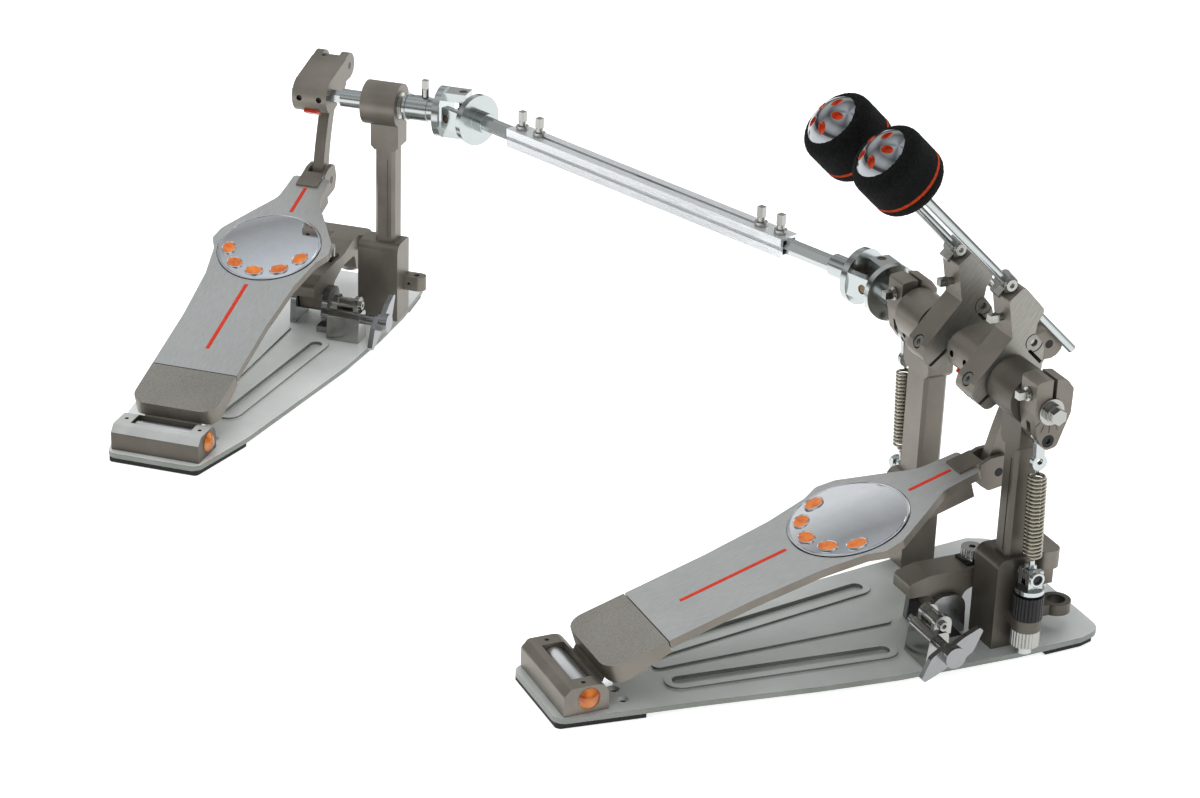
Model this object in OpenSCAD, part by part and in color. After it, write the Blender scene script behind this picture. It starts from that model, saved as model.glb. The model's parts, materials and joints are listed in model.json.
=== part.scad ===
// Double bass drum pedal: a main pedal with two beaters, a second pedal at its
// left and the universal-jointed driveshaft between them.
// Frame: +X to the player's right, +Y towards the drum, +Z up. The origin is on
// the floor under the middle of the main pedal's toe pad. Millimetres.

/* [Layout] */
// Height of the two axle lines above the floor
axle_h = 193; // [180:1:205]
// Distance from the toe pad's middle back to the main axle line
axle_back = 44; // [42:1:48]
// Sideways place of the second pedal's board
second_x = -667.3; // [-690:1:-640]
// Fore and aft place of the second pedal's axle, from the main axle line
second_y = -243.6; // [-260:1:-230]
// Turn of the second pedal about the vertical
second_yaw = 48.43; // [44:0.5:52]

/* [Base plates] */
// Thickness of the rubber pads under each base
pad_t = 4; // [3:0.5:6]
// Thickness of the base plates
base_t = 4; // [3:0.5:6]
// Heel edge of the base, behind the axle
base_heel = 328; // [320:1:340]
// Toe edge of the base, ahead of the axle
base_toe = 72; // [68:1:80]
// Half width of the base at its heel
base_heel_w = 37; // [34:1:42]
// Half width of the base where it is widest
base_wide = 68.6; // [64:0.5:74]
// Length of the toe pad
toe_pad_len = 40; // [30:1:44]

/* [Heel hinge] */
// Height of the heel hinge above the floor
hinge_h = 18.5; // [17:0.5:21]
// Distance of the heel hinge behind the axle line
hinge_back = 304.2; // [300:1:308]
// Radius of the hinge pin
hinge_pin_r = 3; // [2:0.25:4]
// Radius of the chrome hinge barrel
barrel_r = 6.8; // [6:0.1:7.5]
// Radius of the domed end caps
cap_r = 8; // [6:0.5:9]

/* [Footboard] */
// Slope of the board at rest
board_tilt = 17.1; // [14:0.5:20]
// Height of the board's top surface straight above the hinge
board_over = 13.6; // [12:0.1:16]
// Half width of the board at the heel
board_w = 35; // [31:1:38]
// Half width of the board at its shoulders
shoulder_w = 49; // [44:1:54]
// Half width of the neck
neck_w = 17; // [15:1:19]
// Length of the board from the hinge to the end of its neck
board_len = 309; // [306:1:312]
// Thickness of the board
board_t = 6; // [5:0.5:8]
// Thickness of the heel section at its free edge
heel_t = 15; // [12:0.5:16]
// Radius of the chrome disc
disc_r = 42.5; // [36:0.5:45]
// Place of the disc's middle along the board
disc_at = 213.5; // [205:0.5:220]
// Number of oval inserts round the disc
insert_n = 5; // [1:1:7]

/* [Linkage] */
// Distance from the axle to the cam's pin
cam_arm = 41.4; // [38:0.2:44]
// Rise of the cam's arm at rest, in degrees
cam_rise = 19.7; // [12:0.5:26]
// Radius of the cam's hub
hub_r = 14.5; // [12:0.5:16]
// Width of the cam's hub
hub_w = 30; // [24:1:30]
// Radius of the cam's tip round the link pin
tip_r = 11; // [9:0.5:12]
// Width of the link's eyes
eye_w = 14; // [10:0.5:14.4]
// Radius of the link's pins
link_pin_r = 3; // [2.5:0.1:4]
// Extra room of the lower link pin, which is left open
open_room = 1.7; // [1.2:0.1:2]

/* [Axles and posts] */
// Half the distance across the hexagonal axle's flats
hex_flat = 5; // [4:0.25:6]
// Radius of the axle where it runs in the bearings
journal_r = 7.5; // [7:0.25:8.5]
// Outer radius of the bearings
bearing_r = 11; // [10:0.25:13]
// Outer radius of the post head
head_r = 18; // [16:0.5:20]
// Width of the right and second posts' columns
column_w = 17; // [15:1:19]
// Width of the left post's column
wide_column_w = 27; // [22:1:27]
// Depth of the columns, fore and aft
column_d = 20; // [16:1:22]
// Middle of the right post of the main pedal
right_post_x = 42.5; // [41:0.5:46]
// Middle of the left post of the main pedal
left_post_x = -82.5; // [-86:0.5:-82]
// Middle of the second pedal's post
second_post_x = 60.5; // [58:0.5:64]

/* [Beaters] */
// Thickness of the two beater holders
holder_w = 22; // [18:1:22.5]
// Radius of the beater shafts
beater_rod_r = 3.2; // [2.5:0.1:4]
// Length of the beater shafts
beater_rod_len = 222; // [200:1:240]
// Radius of the felt heads
felt_r = 26.3; // [22:0.1:28]
// Length of the felt heads along the shaft
felt_len = 40; // [32:1:46]
// Place of the felt head's middle on its shaft
felt_at = 174; // [160:1:178]
// Radius of the chrome domes
dome_r = 18.5; // [15:0.5:22]

/* [Springs] */
// Turns of each spring
spring_turns = 21; // [8:1:22]
// Outer radius of the springs
spring_r = 6.3; // [5.5:0.1:6.6]
// Radius of the spring wire
wire_r = 0.9; // [0.7:0.05:1]
// Depth of the rocker's spring pivot below the axle
pivot_drop = 21.6; // [20:0.2:23]
// Height of the spring's lower pivot above the floor
lower_pivot_h = 67; // [64:0.5:70]

/* [Driveshaft] */
// Outer width of the driveshaft's channel
channel_w = 18; // [16:0.5:20]
// Depth of the driveshaft's channel
channel_d = 15; // [13:0.5:17]
// Length of the channel
channel_len = 302; // [280:1:310]
// Half the distance across the flats of the sliding hexagonal rods
rod_flat = 5.3; // [4.5:0.1:6]
// Outer radius of the joint yokes
yoke_r = 22.5; // [20:0.5:24]

/* [Hoop clamp] */
// Width of the clamp levers
lever_w = 22; // [16:1:24]
// Clear height for the drum's hoop under the jaw
hoop_gap = 16; // [12:0.5:18]
// Span of the wing bolts
wing_span = 52; // [40:1:53]

/* [Hidden] */

$fn = 48;
// Face to face room between pieces of one body, and running room of pins
seat = 0.05;
run = 0.05;
// Room between pieces of different bodies
free = 0.4;
over = 1;

pewter = [0.5, 0.47, 0.43];
satin = [0.66, 0.67, 0.65];
brushed = [0.64, 0.64, 0.62];
bright = [0.8, 0.81, 0.82];
orange = [0.88, 0.48, 0.13];
black = [0.1, 0.1, 0.1];
nickel = [0.72, 0.72, 0.7];

base_top = pad_t + base_t;
cam_pin = cam_arm * [cos(cam_rise), sin(cam_rise)];
hex_r = hex_flat / cos(30);
rod_r = rod_flat / cos(30);
// The lower link pin past the board's end and below its top, then from the axle line
pin_past = 15;
pin_below = 11.9;
clevis_pin = [-hinge_back, hinge_h + board_over]
    + (board_len + pin_past) * [cos(board_tilt), sin(board_tilt)]
    + pin_below * [sin(board_tilt), -cos(board_tilt)];
link_len = norm([cam_pin[0] - clevis_pin[0], axle_h + cam_pin[1] - clevis_pin[1]]);
echo(link_length = link_len);

// Beater line: the foot of its perpendicular from the axle, and its direction
rod_foot = [32.2, 32.2];
rod_dir = [-0.7071, 0.7071];
// The shaft ends inside its felt head, this far below the head's top
rod_in = 4;
rod_start = felt_at + felt_len / 2 - rod_in - beater_rod_len;

// Sideways places along the main axle line
hub_right = -2;
right_holder_x = 14;
left_holder_x = -52;
rocker_w = 19;
right_rocker_x = 68.5;
left_rocker_x = -109.5;
head_w = 30;
joint_main = [-151.8, 0, axle_h];
joint_out = 128.6;
joint_slave = place([joint_out, 0, axle_h]);
shaft_vec = joint_main - joint_slave;
shaft_len = norm(shaft_vec);
shaft_dir = atan2(shaft_vec[1], shaft_vec[0]);

// Points and outlines
function place(p) = [second_x + p[0] * cos(second_yaw) - p[1] * sin(second_yaw),
    second_y + p[0] * sin(second_yaw) + p[1] * cos(second_yaw), p[2]];
function unit(v) = v / norm(v);
function turn(o, r, a, d, n) = [for (i = [0:n]) o + r * [cos(a + d * i / n), sin(a + d * i / n)]];
function corner(a, b, c, r, n) = r <= 0 ? [b] :
    let (u = unit(a - b), w = unit(c - b), half = acos(u * w) / 2,
        o = b + unit(u + w) * (r / sin(half)), s = b + u * (r / tan(half)) - o,
        e = b + w * (r / tan(half)) - o, a0 = atan2(s[1], s[0]),
        d = (atan2(e[1], e[0]) - a0 + 900) % 360 - 180)
    turn(o, r, a0, d, n);
// Outline with each corner [x, y, radius] rounded
function soft(p, n = 5) = [for (i = [0:len(p) - 1])
    let (k = len(p), a = p[(i + k - 1) % k], b = p[i], c = p[(i + 1) % k])
    each corner([a[0], a[1]], [b[0], b[1]], [c[0], c[1]], b[2], n)];
function along(t) = rod_foot + rod_dir * t;

module bar_x(x0, x1, r, y = 0, z = 0, sides = 48) {
    translate([x0, y, z]) rotate([0, 90, 0]) cylinder(h = x1 - x0, r = r, $fn = sides);
}
module hex_x(x0, x1, r, y = 0, z = 0) {
    translate([x0, y, z]) rotate([0, 90, 0]) cylinder(h = x1 - x0, r = r, $fn = 6);
}
// A Y-Z outline carried along X
module slab_x(x0, x1, p) {
    translate([x0, 0, 0]) rotate([90, 0, 90]) linear_extrude(x1 - x0) polygon(p);
}
module block(x0, x1, y0, y1, z0, z1) {
    translate([x0, y0, z0]) cube([x1 - x0, y1 - y0, z1 - z0]);
}
module main_side() {
    translate([0, -axle_back, 0]) children();
}
module slave_side() {
    translate([second_x, second_y - axle_back, 0]) rotate([0, 0, second_yaw]) children();
}
module both_sides() {
    main_side() children();
    slave_side() children();
}
module at_axle() {
    translate([0, 0, axle_h]) children();
}
// The board's own frame: X across, Y along the slope, Z up from its top
module on_board() {
    translate([0, -hinge_back, hinge_h + board_over]) rotate([board_tilt, 0, 0]) children();
}
// Frame of a beater rod, +Z along it towards the head
module on_rod(x) {
    at_axle() translate([x, rod_foot[0], rod_foot[1]]) rotate([45, 0, 0]) children();
}
// Frame of the driveshaft, +Z along it from the second pedal
module on_shaft() {
    translate([joint_slave[0], joint_slave[1] - axle_back, joint_slave[2]])
        rotate([0, 0, shaft_dir]) rotate([0, 90, 0]) children();
}

// Base plates
groove_d = 1.6;
function base_right() = [[base_heel_w, -base_heel, 9], [base_heel_w + 12, -230, 0],
    [base_wide - 8, -148, 0], [base_wide - 2, -90, 0], [base_wide, 0, 0],
    [base_wide - 2.6, base_toe - 19, 0], [base_wide - 9, base_toe, 14]];
function mirrored(p) = [for (i = [len(p) - 1:-1:0]) [-p[i][0], p[i][1], p[i][2]]];
function slave_right() = [[base_heel_w, -base_heel, 9], [base_heel_w + 15, -266, 0],
    [base_wide + 4, -118, 0], [base_wide + 8.5, -52, 0], [base_wide + 9, 4, 0],
    [base_wide + 5, base_toe - 14, 0], [base_wide - 3, base_toe, 14]];
left_reach = 92;
function main_left() = [[-left_reach + 8, base_toe, 14], [-left_reach, base_toe - 19, 0],
    [-left_reach + 3, 28, 0], [-70, -100, 0], [-60.6, -148, 0], [-49, -230, 0],
    [-base_heel_w, -base_heel, 9]];

module groove(a, b, w, lift) {
    // A long round-ended recess from a to b
    d = b - a;
    translate([a[0], a[1], lift]) rotate([0, 0, atan2(d[1], d[0])]) {
        translate([0, -w, 0]) cube([norm(d), 2 * w, 6]);
        cylinder(h = 6, r = w);
        translate([norm(d), 0, 0]) cylinder(h = 6, r = w);
    }
}
groove_w = 5.2;
rim_w = 10.5;
rim_t = 1.5;
module base_plate(p) {
    difference() {
        union() {
            translate([0, 0, pad_t]) linear_extrude(base_t) polygon(soft(p, 6));
            // Raised surrounds of the two grooves and the middle ridge
            intersection() {
                union() {
                    groove([21, -232], [34, -86], rim_w, base_top - over);
                    groove([-23, -232], [-52, -60], rim_w, base_top - over);
                    groove([-3, -236], [-3, -64], 5, base_top - over);
                }
                translate([-base_wide - 30, -base_heel, base_top - over])
                    cube([2 * base_wide + 60, base_heel - 20, over + rim_t]);
            }
        }
        groove([21, -232], [34, -86], groove_w, base_top - groove_d);
        groove([-23, -232], [-52, -60], groove_w, base_top - groove_d);
        for (x = [14, 28]) translate([x, -276.5, 0]) {
            cylinder(h = 20, r = 1.9);
            translate([0, 0, base_top - 2]) cylinder(h = 2.01, r1 = 1.9, r2 = 3.9);
        }
    }
}
module pad_shape(p, y0, y1, inset) {
    intersection() {
        linear_extrude(pad_t) polygon(soft(p, 6));
        translate([-120, y0, 0]) cube([240, y1 - y0, pad_t]);
        translate([0, 0, 0]) linear_extrude(pad_t)
            polygon([for (q = p) [q[0] * (1 - inset / 60), q[1]]]);
    }
}
module pads(p) {
    pad_shape(p, -base_heel + 1, -base_heel + 62, 2);
    pad_shape(p, axle_back - toe_pad_len / 2, axle_back + toe_pad_len / 2, 1.5);
}
main_plan = concat(base_right(), main_left());
slave_plan = concat(slave_right(), mirrored(slave_right()));
module main_base() color(satin) main_side() base_plate(main_plan);
module slave_base() color(satin) slave_side() base_plate(slave_plan);
module rubber_pads() color(black) {
    main_side() pads(main_plan);
    slave_side() pads(slave_plan);
}

// Heel blocks and hinges
block_w = 36;
window_w = 24;
block_back = 18;
block_front = 14;
module heel_block() color(pewter) {
    difference() {
        slab_x(-block_w, block_w, soft([[-hinge_back - block_back, base_top, 1],
            [-hinge_back + block_front, base_top, 1],
            [-hinge_back + block_front, hinge_h + 9.5, 9],
            [-hinge_back - block_back + 5, hinge_h + 9.5, 3],
            [-hinge_back - block_back, hinge_h + 4, 3]], 5));
        // Window over the barrel
        block(-window_w, window_w, -hinge_back - barrel_r - 1.6, -hinge_back + barrel_r + 1,
            base_top + 1.5, hinge_h + 20);
        // Way out for the tongue, under the front bar
        block(-window_w, window_w, -hinge_back, -hinge_back + 30, base_top + 1.5, hinge_h + 4.4);
        bar_x(-block_w - over, block_w + over, hinge_pin_r + seat, -hinge_back, hinge_h);
        for (s = [-1, 1]) translate([s * (block_w - 6), -hinge_back - 2, hinge_h + 3])
            cylinder(h = 20, r = 1.6);
    }
}
module main_heel_block() main_side() heel_block();
module slave_heel_block() slave_side() heel_block();
module hinge_pins() color(bright) both_sides()
    bar_x(-block_w, block_w, hinge_pin_r, -hinge_back, hinge_h);
cap_rise = 4.5;
cap_ball = (cap_r * cap_r + cap_rise * cap_rise) / (2 * cap_rise);
module hinge_caps() color(orange) both_sides() for (s = [0, 1]) mirror([s, 0, 0])
    translate([block_w, -hinge_back, hinge_h]) rotate([0, 90, 0]) rotate_extrude()
        intersection() {
            translate([0, cap_rise - cap_ball]) circle(r = cap_ball, $fn = 72);
            square([cap_r, cap_rise]);
        }

// Footboards
heel_from = 13;
heel_round = 13;
seam = 58;
seam_gap = 0.8;
function board_plan() = [[board_w, seam + seam_gap, 0], [board_w, 120, 30],
    [board_w + 3, 171, 20], [shoulder_w - 5, 203, 8], [shoulder_w + 1.5, 215, 6],
    [shoulder_w - 1, 229, 6], [neck_w + 16, 254, 20], [neck_w + 1, 278, 20],
    [neck_w, 290, 0], [neck_w - 1, board_len, 3]];
function whole_plan() = concat(board_plan(), mirrored(board_plan()));
stripe_w = 1.5;
inlay_d = 0.8;
disc_t = 1.6;
stripe_rise = 0.15;
module stripes(w, h) {
    for (s = [[84, 165], [261, plate_from - 2]])
        translate([-w, s[0] - (w - stripe_w), -inlay_d])
            cube([2 * w, s[1] - s[0] + 2 * (w - stripe_w), inlay_d + h]);
}
module board() color(brushed) on_board() difference() {
    union() {
        translate([0, 0, -board_t]) linear_extrude(board_t) polygon(soft(whole_plan(), 4));
        // Side flanges and neck bracket underneath
        for (s = [-1, 1]) {
            translate([s * (neck_w - 4) - 3, 258, -17]) cube([6, board_len - 267, 12]);
            translate([s * (board_w - 9) - 1.5, 70, -10]) cube([3, 120, 5]);
        }
        translate([-neck_w + 2, 258, -17]) cube([2 * neck_w - 4, 4, 12]);
    }
    stripes(stripe_w + seat, over);
    translate([0, disc_at, -disc_t]) cylinder(h = 10, r = disc_r + seat, $fn = 96);
    // Seat of the clevis plate
    block(-plate_w - seat, plate_w + seat, plate_from, board_len + 1, -plate_in, 1);
}
module main_board() main_side() board();
module slave_board() slave_side() board();

module heel_plate() color(pewter) {
    on_board() difference() {
        slab_x(-board_w, board_w, [[heel_from, 0], [seam, 0], [seam, -board_t - 3],
            [heel_from + 12, -heel_t + 1], [heel_from + 3, -heel_t + 1], [heel_from, -heel_t + 3]]);
        for (s = [0, 1]) mirror([s, 0, 0]) difference() {
            translate([board_w - heel_round, heel_from - over, -30])
                cube([heel_round + over, heel_round + over, 40]);
            translate([board_w - heel_round, heel_from + heel_round, -30])
                cylinder(h = 40, r = heel_round);
        }
    }
    // Tongue and barrel on the hinge pin
    difference() {
        union() {
            bar_x(-window_w + free, window_w - free, barrel_r, -hinge_back, hinge_h);
            slab_x(-window_w + free, window_w - free, [[-hinge_back, hinge_h - 4],
                [-hinge_back + 22, hinge_h - 1], [-hinge_back + 22, hinge_h + 6],
                [-hinge_back + 16, hinge_h + 6], [-hinge_back + 14.6, hinge_h + 3],
                [-hinge_back, hinge_h + 3]]);
        }
        bar_x(-window_w - over, window_w + over, hinge_pin_r + run, -hinge_back, hinge_h);
    }
}
module main_heel_plate() main_side() heel_plate();
module slave_heel_plate() slave_side() heel_plate();

insert_ring = 32.4;
insert_from = 198;
insert_step = 36;
module disc_set() on_board() {
    color(bright) difference() {
        translate([0, disc_at, -disc_t]) cylinder(h = disc_t + 0.9, r = disc_r, $fn = 96);
        inserts(0.15);
    }
    color(orange) inserts(0);
    color([0.84, 0.23, 0.16]) stripes(stripe_w, stripe_rise);
}
module inserts(grow) {
    for (k = [0:insert_n - 1]) {
        a = insert_from + insert_step * k;
        translate([insert_ring * cos(a), disc_at + insert_ring * sin(a), -0.2])
            rotate([0, 0, a + 90]) linear_extrude(grow > 0 ? 4 : 1.7)
                polygon([for (t = [0:15:345]) [(6.6 + grow) * cos(t), (4.9 + grow) * sin(t)]]);
    }
}
module main_disc() main_side() disc_set();
module slave_disc() slave_side() disc_set();

// Clevis at the neck
clevis_w = 10;
plate_w = 9.4;
plate_from = board_len - 13;
plate_in = 3.4;
fork_w = 6.4;
module clevis() color(pewter) difference() {
    union() {
        on_board() translate([-plate_w, plate_from + seat, -plate_in + seat])
            cube([2 * plate_w, board_len + 6 - plate_from, plate_in + 1.6]);
        slab_x(-clevis_w, clevis_w, soft([for (p = [[-15, 8, 0], [-7, 11.5, 2], [7, 12.5, 5],
            [11.5, 0, 6], [8, -10.5, 5], [-7, -13, 3], [-15, -7, 3]])
            [p[0] + clevis_pin[0], p[1] + clevis_pin[1], p[2]]], 4));
    }
    // Slot for the link's lower eye, open towards the drum
    block(-fork_w, fork_w, clevis_pin[0] - 13, clevis_pin[0] + 31, clevis_pin[1] - 56,
        clevis_pin[1] + 74);
    bar_x(-clevis_w - over, clevis_w + over, link_pin_r + seat, clevis_pin[0], clevis_pin[1]);
}
module main_clevis() main_side() clevis_with_pin();
module slave_clevis() slave_side() clevis_with_pin();
module clevis_with_pin() {
    clevis();
    color(bright) bar_x(-clevis_w, clevis_w, link_pin_r, clevis_pin[0], clevis_pin[1]);
}

// Link between the cam's pin and the clevis pin
shank_w = 4.6;
low_eye = 8;
function link_mid(t) = let (a = [cam_pin[0], axle_h + cam_pin[1]], b = clevis_pin)
    a + (b - a) * t + [3.4 * cos(180 * t) - 1.4 * sin(180 * t) - 3.4 * (1 - 2 * t), 0]
    + [-1.8, 0.4] * sin(180 * t);
function link_side(s) = [for (i = [0:12]) let (t = s > 0 ? i / 12 : 1 - i / 12,
    d = unit(clevis_pin - [cam_pin[0], axle_h + cam_pin[1]]))
    link_mid(t) + s * (5.6 + 1.8 * pow(abs(2 * t - 1), 3)) * [-d[1], d[0]]];
module link() color(pewter) difference() {
    union() {
        slab_x(-shank_w, shank_w, concat(link_side(1), link_side(-1)));
        bar_x(-eye_w / 2, eye_w / 2, tip_r - 3.4, cam_pin[0], axle_h + cam_pin[1]);
        bar_x(-fork_w + free, fork_w - free, low_eye, clevis_pin[0], clevis_pin[1]);
    }
    bar_x(-20, 20, link_pin_r + run, cam_pin[0], axle_h + cam_pin[1]);
    bar_x(-20, 20, link_pin_r + open_room, clevis_pin[0], clevis_pin[1]);
}
module main_link() main_side() link();
module slave_link() slave_side() link();

// Cams: hub, arm and forked tip with its pin. The main one is set to the left
notch_w = eye_w / 2 + free;
set_screw_x = 8.6;
web_y = 26.3;
web_t = 4.3;
function hub_back() = turn([0, 0], hub_r, 110, 160, 12);
function tip_front() = concat([[cam_pin[0] - 9, cam_pin[1] - tip_r - 0.6]],
    turn(cam_pin, tip_r, -100, 190, 8));
module cam(hub_x, fork_half) color(pewter) at_axle() difference() {
    union() {
        // Hub with the root of its arm
        slab_x(hub_x - hub_w / 2, hub_x + hub_w / 2, concat(hub_back(),
            [[9, -11.4], [web_y, -3], [web_y + web_t, 1], [web_y + web_t, 22.5]]));
        // Fork round the link pin
        slab_x(-fork_half, fork_half, concat([[web_y, 21.5], [web_y, -3]], tip_front()));
    }
    // Notch for the link's upper eye, deeper below for its shank
    block(-notch_w, notch_w, web_y + web_t, 80, -40, 60);
    block(-notch_w, notch_w, web_y - 4.3, 80, -40, cam_pin[1] + 0.5);
    hex_x(-80, 80, hex_r + seat);
    bar_x(-80, 80, link_pin_r + seat, cam_pin[0], cam_pin[1]);
    // Two set screws on the heel side
    for (s = [-1, 1]) translate([hub_x + s * set_screw_x, -5, 0]) rotate([90, 0, 0])
        cylinder(h = 20, r = 2.4);
}
module cam_set(hub_x, fork_half) {
    cam(hub_x, fork_half);
    at_axle() {
        color(bright) bar_x(-fork_half, fork_half, link_pin_r, cam_pin[0], cam_pin[1]);
        color(black) for (s = [-1, 1]) translate([hub_x + s * set_screw_x, -hex_r - seat, 0])
            rotate([90, 0, 0]) cylinder(h = 6, r = 2.35);
        // Red bumper under the hub, on the heel side
        color(orange) translate([hub_x, 0, 0]) rotate([bumper_turn, 0, 0]) difference() {
            translate([-tab_w / 2, -tab_t, hub_r - 2]) cube([tab_w, 2 * tab_t, 4]);
            bar_x(-20, 20, hub_r + seat);
        }
    }
}
main_fork = 10.5;
tab_w = 12;
tab_t = 4;
bumper_turn = 150;
module main_cam() main_side() cam_set(hub_right - hub_w / 2, main_fork);
module slave_cam() slave_side() cam_set(0, hub_r);

// Posts with their bearings: the column stands a little off the head's middle
bearing_w = 8;
foot_top = 75;
foot_aft = 15;
foot_fore = 12;
bracket_y = 4;
neck_drop = 38;
flare = 3.5;
module post(cx, arm_to, width) color(pewter) difference() {
    foot_w = arm_to == 0 ? 17.5 : 15;
    half = width / 2;
    col_x = cx + min(3, head_w / 2 - half);
    col_y = 2;
    union() {
        at_axle() bar_x(cx - head_w / 2, cx + head_w / 2, head_r, sides = 72);
        // Block under the head, chamfered down to the column
        translate([col_x, col_y + column_d / 2, 0]) rotate([90, 0, 0])
            linear_extrude(column_d) polygon([[-half - flare, axle_h],
                [-half - flare, axle_h - neck_drop + flare], [-half, axle_h - neck_drop],
                [half, axle_h - neck_drop], [half + flare, axle_h - neck_drop + flare],
                [half + flare, axle_h]]);
        translate([col_x, col_y, base_top])
            linear_extrude(axle_h - neck_drop + flare - base_top) polygon(soft([
                [-half, -column_d / 2 + 0.8, 2.5], [half, -column_d / 2 + 0.8, 2.5],
                [half, column_d / 2 - 0.8, 2.5], [-half, column_d / 2 - 0.8, 2.5]], 1));
        // Foot
        translate([cx, 0, 0]) slab_x(-foot_w, foot_w, soft([[-foot_aft, base_top, 0],
            [foot_fore, base_top, 0], [foot_fore, foot_top, 3], [-foot_aft, foot_top, 7]], 4));
        // Arm that carries the spring's tension rod
        if (arm_to != 0) spring_arm(cx, cx + arm_to);
        else slave_lug(cx);
        if (arm_to > 0) ring_lug(cx);
    }
    at_axle() bar_x(cx - 40, cx + 40, bearing_r + seat);
    if (arm_to != 0) translate([cx + arm_to, bracket_y, 0]) cylinder(h = 60, r = rod_d / 2 + seat);
    // Fine groove down the column's heel side
    if (half < head_w / 2 - 3) translate([col_x + half / 3 - 0.6, col_y - column_d / 2 - over, foot_top + 4])
        cube([1.2, over + 1.6, axle_h - neck_drop - foot_top - 12]);
}
// Flat ring lug ahead of the right post
ring_y = 46;
ring_r = 10.5;
ring_z = 18;
module ring_lug(cx) {
    difference() {
        union() {
            block(cx - 9, cx + 3, foot_fore - over, ring_y, ring_z, ring_z + 8);
            translate([cx - 3, ring_y, ring_z]) cylinder(h = 8, r = ring_r);
        }
        translate([cx - 3, ring_y, 0]) cylinder(h = 60, r = ring_r - 4);
    }
}
rod_d = 9;
module spring_arm(cx, ax) {
    block(min(cx, ax) + 4, max(cx, ax) - 4, bracket_y - 8, bracket_y + 6, 27, 35.5);
    translate([ax, bracket_y, 27]) cylinder(h = 8.5, r = 10.2);
}
lug_reach = 29;
module slave_lug(cx) {
    difference() {
        union() {
            block(cx, cx + lug_reach, 0, 12, 31, 43);
            translate([cx + lug_reach, 6, 31]) cylinder(h = 12, r = 6);
        }
        translate([cx + lug_reach - 2, 6, 20]) cylinder(h = 40, r = 2.5);
        translate([cx + lug_reach - 7, -over, 37]) rotate([-90, 0, 0]) cylinder(h = 5, r = 1.3);
    }
}
module right_post() main_side() post(right_post_x, right_rocker_x - right_post_x, column_w);
module left_post() main_side() post(left_post_x, left_rocker_x - left_post_x, wide_column_w);
module slave_post() slave_side() post(second_post_x, 0, column_w);

module bearings(cx) color(nickel) at_axle() for (s = [-1, 1]) difference() {
    bar_x(cx + s * (head_w - bearing_w) / 2 - bearing_w / 2,
        cx + s * (head_w - bearing_w) / 2 + bearing_w / 2, bearing_r);
    bar_x(cx - 40, cx + 40, journal_r + run);
}
module post_bearings() {
    main_side() bearings(right_post_x);
    main_side() bearings(left_post_x);
    slave_side() bearings(second_post_x);
}

// Axles
collar_r = 10.5;
tip_len = 22;
socket_r = 3.6;
main_left_end = hub_right - hub_w - 6;
module journal(cx) {
    bar_x(cx - head_w / 2 - 0.8, cx + head_w / 2 + 0.8, journal_r);
}
module main_axle() color(bright) main_side() at_axle() {
    hex_x(main_left_end, 89, hex_r);
    journal(right_post_x);
    bar_x(main_left_end - tip_len, main_left_end + over, socket_r - run);
    // Ring between the cam and the left holder
    bar_x(main_left_end, hub_right - hub_w - 0.2, journal_r + 1.5);
    // Spacer between the cam and the right holder, and the ring on the rocker's face
    bar_x(hub_right + seat, right_holder_x - holder_w / 2 - seat, journal_r + 1.5);
    bar_x(right_rocker_x + rocker_w / 2 + seat, right_rocker_x + rocker_w / 2 + 1.6, journal_r + 1.8);
    bar_x(right_rocker_x + rocker_w / 2 + 1, right_rocker_x + rocker_w / 2 + 6, hex_r + 0.6);
}
module left_axle() color(bright) main_side() at_axle() {
    difference() {
        bar_x(left_post_x - head_w / 2 - 0.8, main_left_end - 0.5, journal_r);
        bar_x(main_left_end - tip_len - 2, main_left_end + over, socket_r);
    }
    hex_x(joint_main[0] + yoke_back - over, left_post_x - head_w / 2, hex_r);
    translate([joint_main[0], 0, 0]) yoke(-1);
    bar_x(joint_main[0] + yoke_back - over, left_rocker_x - rocker_w / 2 - seat, collar_r);
}

// Universal joints: a disc-shaped yoke with two ears across a bore
arm_r = 2.6;
plug_r = 3.4;
ear_w = 7;
ear_half = 8.5;
ear_at = 15.5;
yoke_t = 5.5;
yoke_back = 20;
ear_reach = 4.8;
// A yoke with an upright pin; its shaft comes from -X where s is 1, else from +X
module yoke(s) {
    difference() {
        union() {
            translate([s < 0 ? yoke_back - yoke_t : -yoke_back, 0, 0])
                bar_x(0, yoke_t, yoke_r - 1.5);
            for (m = [0, 1]) mirror([0, 0, m]) intersection() {
                translate([s < 0 ? -ear_reach : -yoke_back, -ear_half, ear_at - ear_w / 2])
                    cube([yoke_back + ear_reach, 2 * ear_half, ear_w]);
                bar_x(-30, 30, yoke_r);
            }
        }
        translate([0, 0, -40]) cylinder(h = 80, r = plug_r + run);
    }
}
module cross_body(open) {
    // Upright plugs run in one yoke, level plugs in the other
    translate([0, 0, -ear_at - 3]) cylinder(h = 2 * ear_at + 6, r = plug_r);
    rotate([90, 0, 0]) translate([0, 0, -ear_at - 3]) cylinder(h = 2 * ear_at + 6, r = plug_r - open);
    sphere(r = 6.4, $fn = 40);
}
module main_cross() color([0.55, 0.45, 0.32]) translate([joint_main[0], -axle_back, axle_h])
    rotate([0, 0, shaft_dir]) cross_body(0.6);
module slave_cross() color([0.55, 0.45, 0.32])
    translate([joint_slave[0], joint_slave[1] - axle_back, axle_h])
        rotate([0, 0, shaft_dir]) cross_body(0.6);

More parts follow.
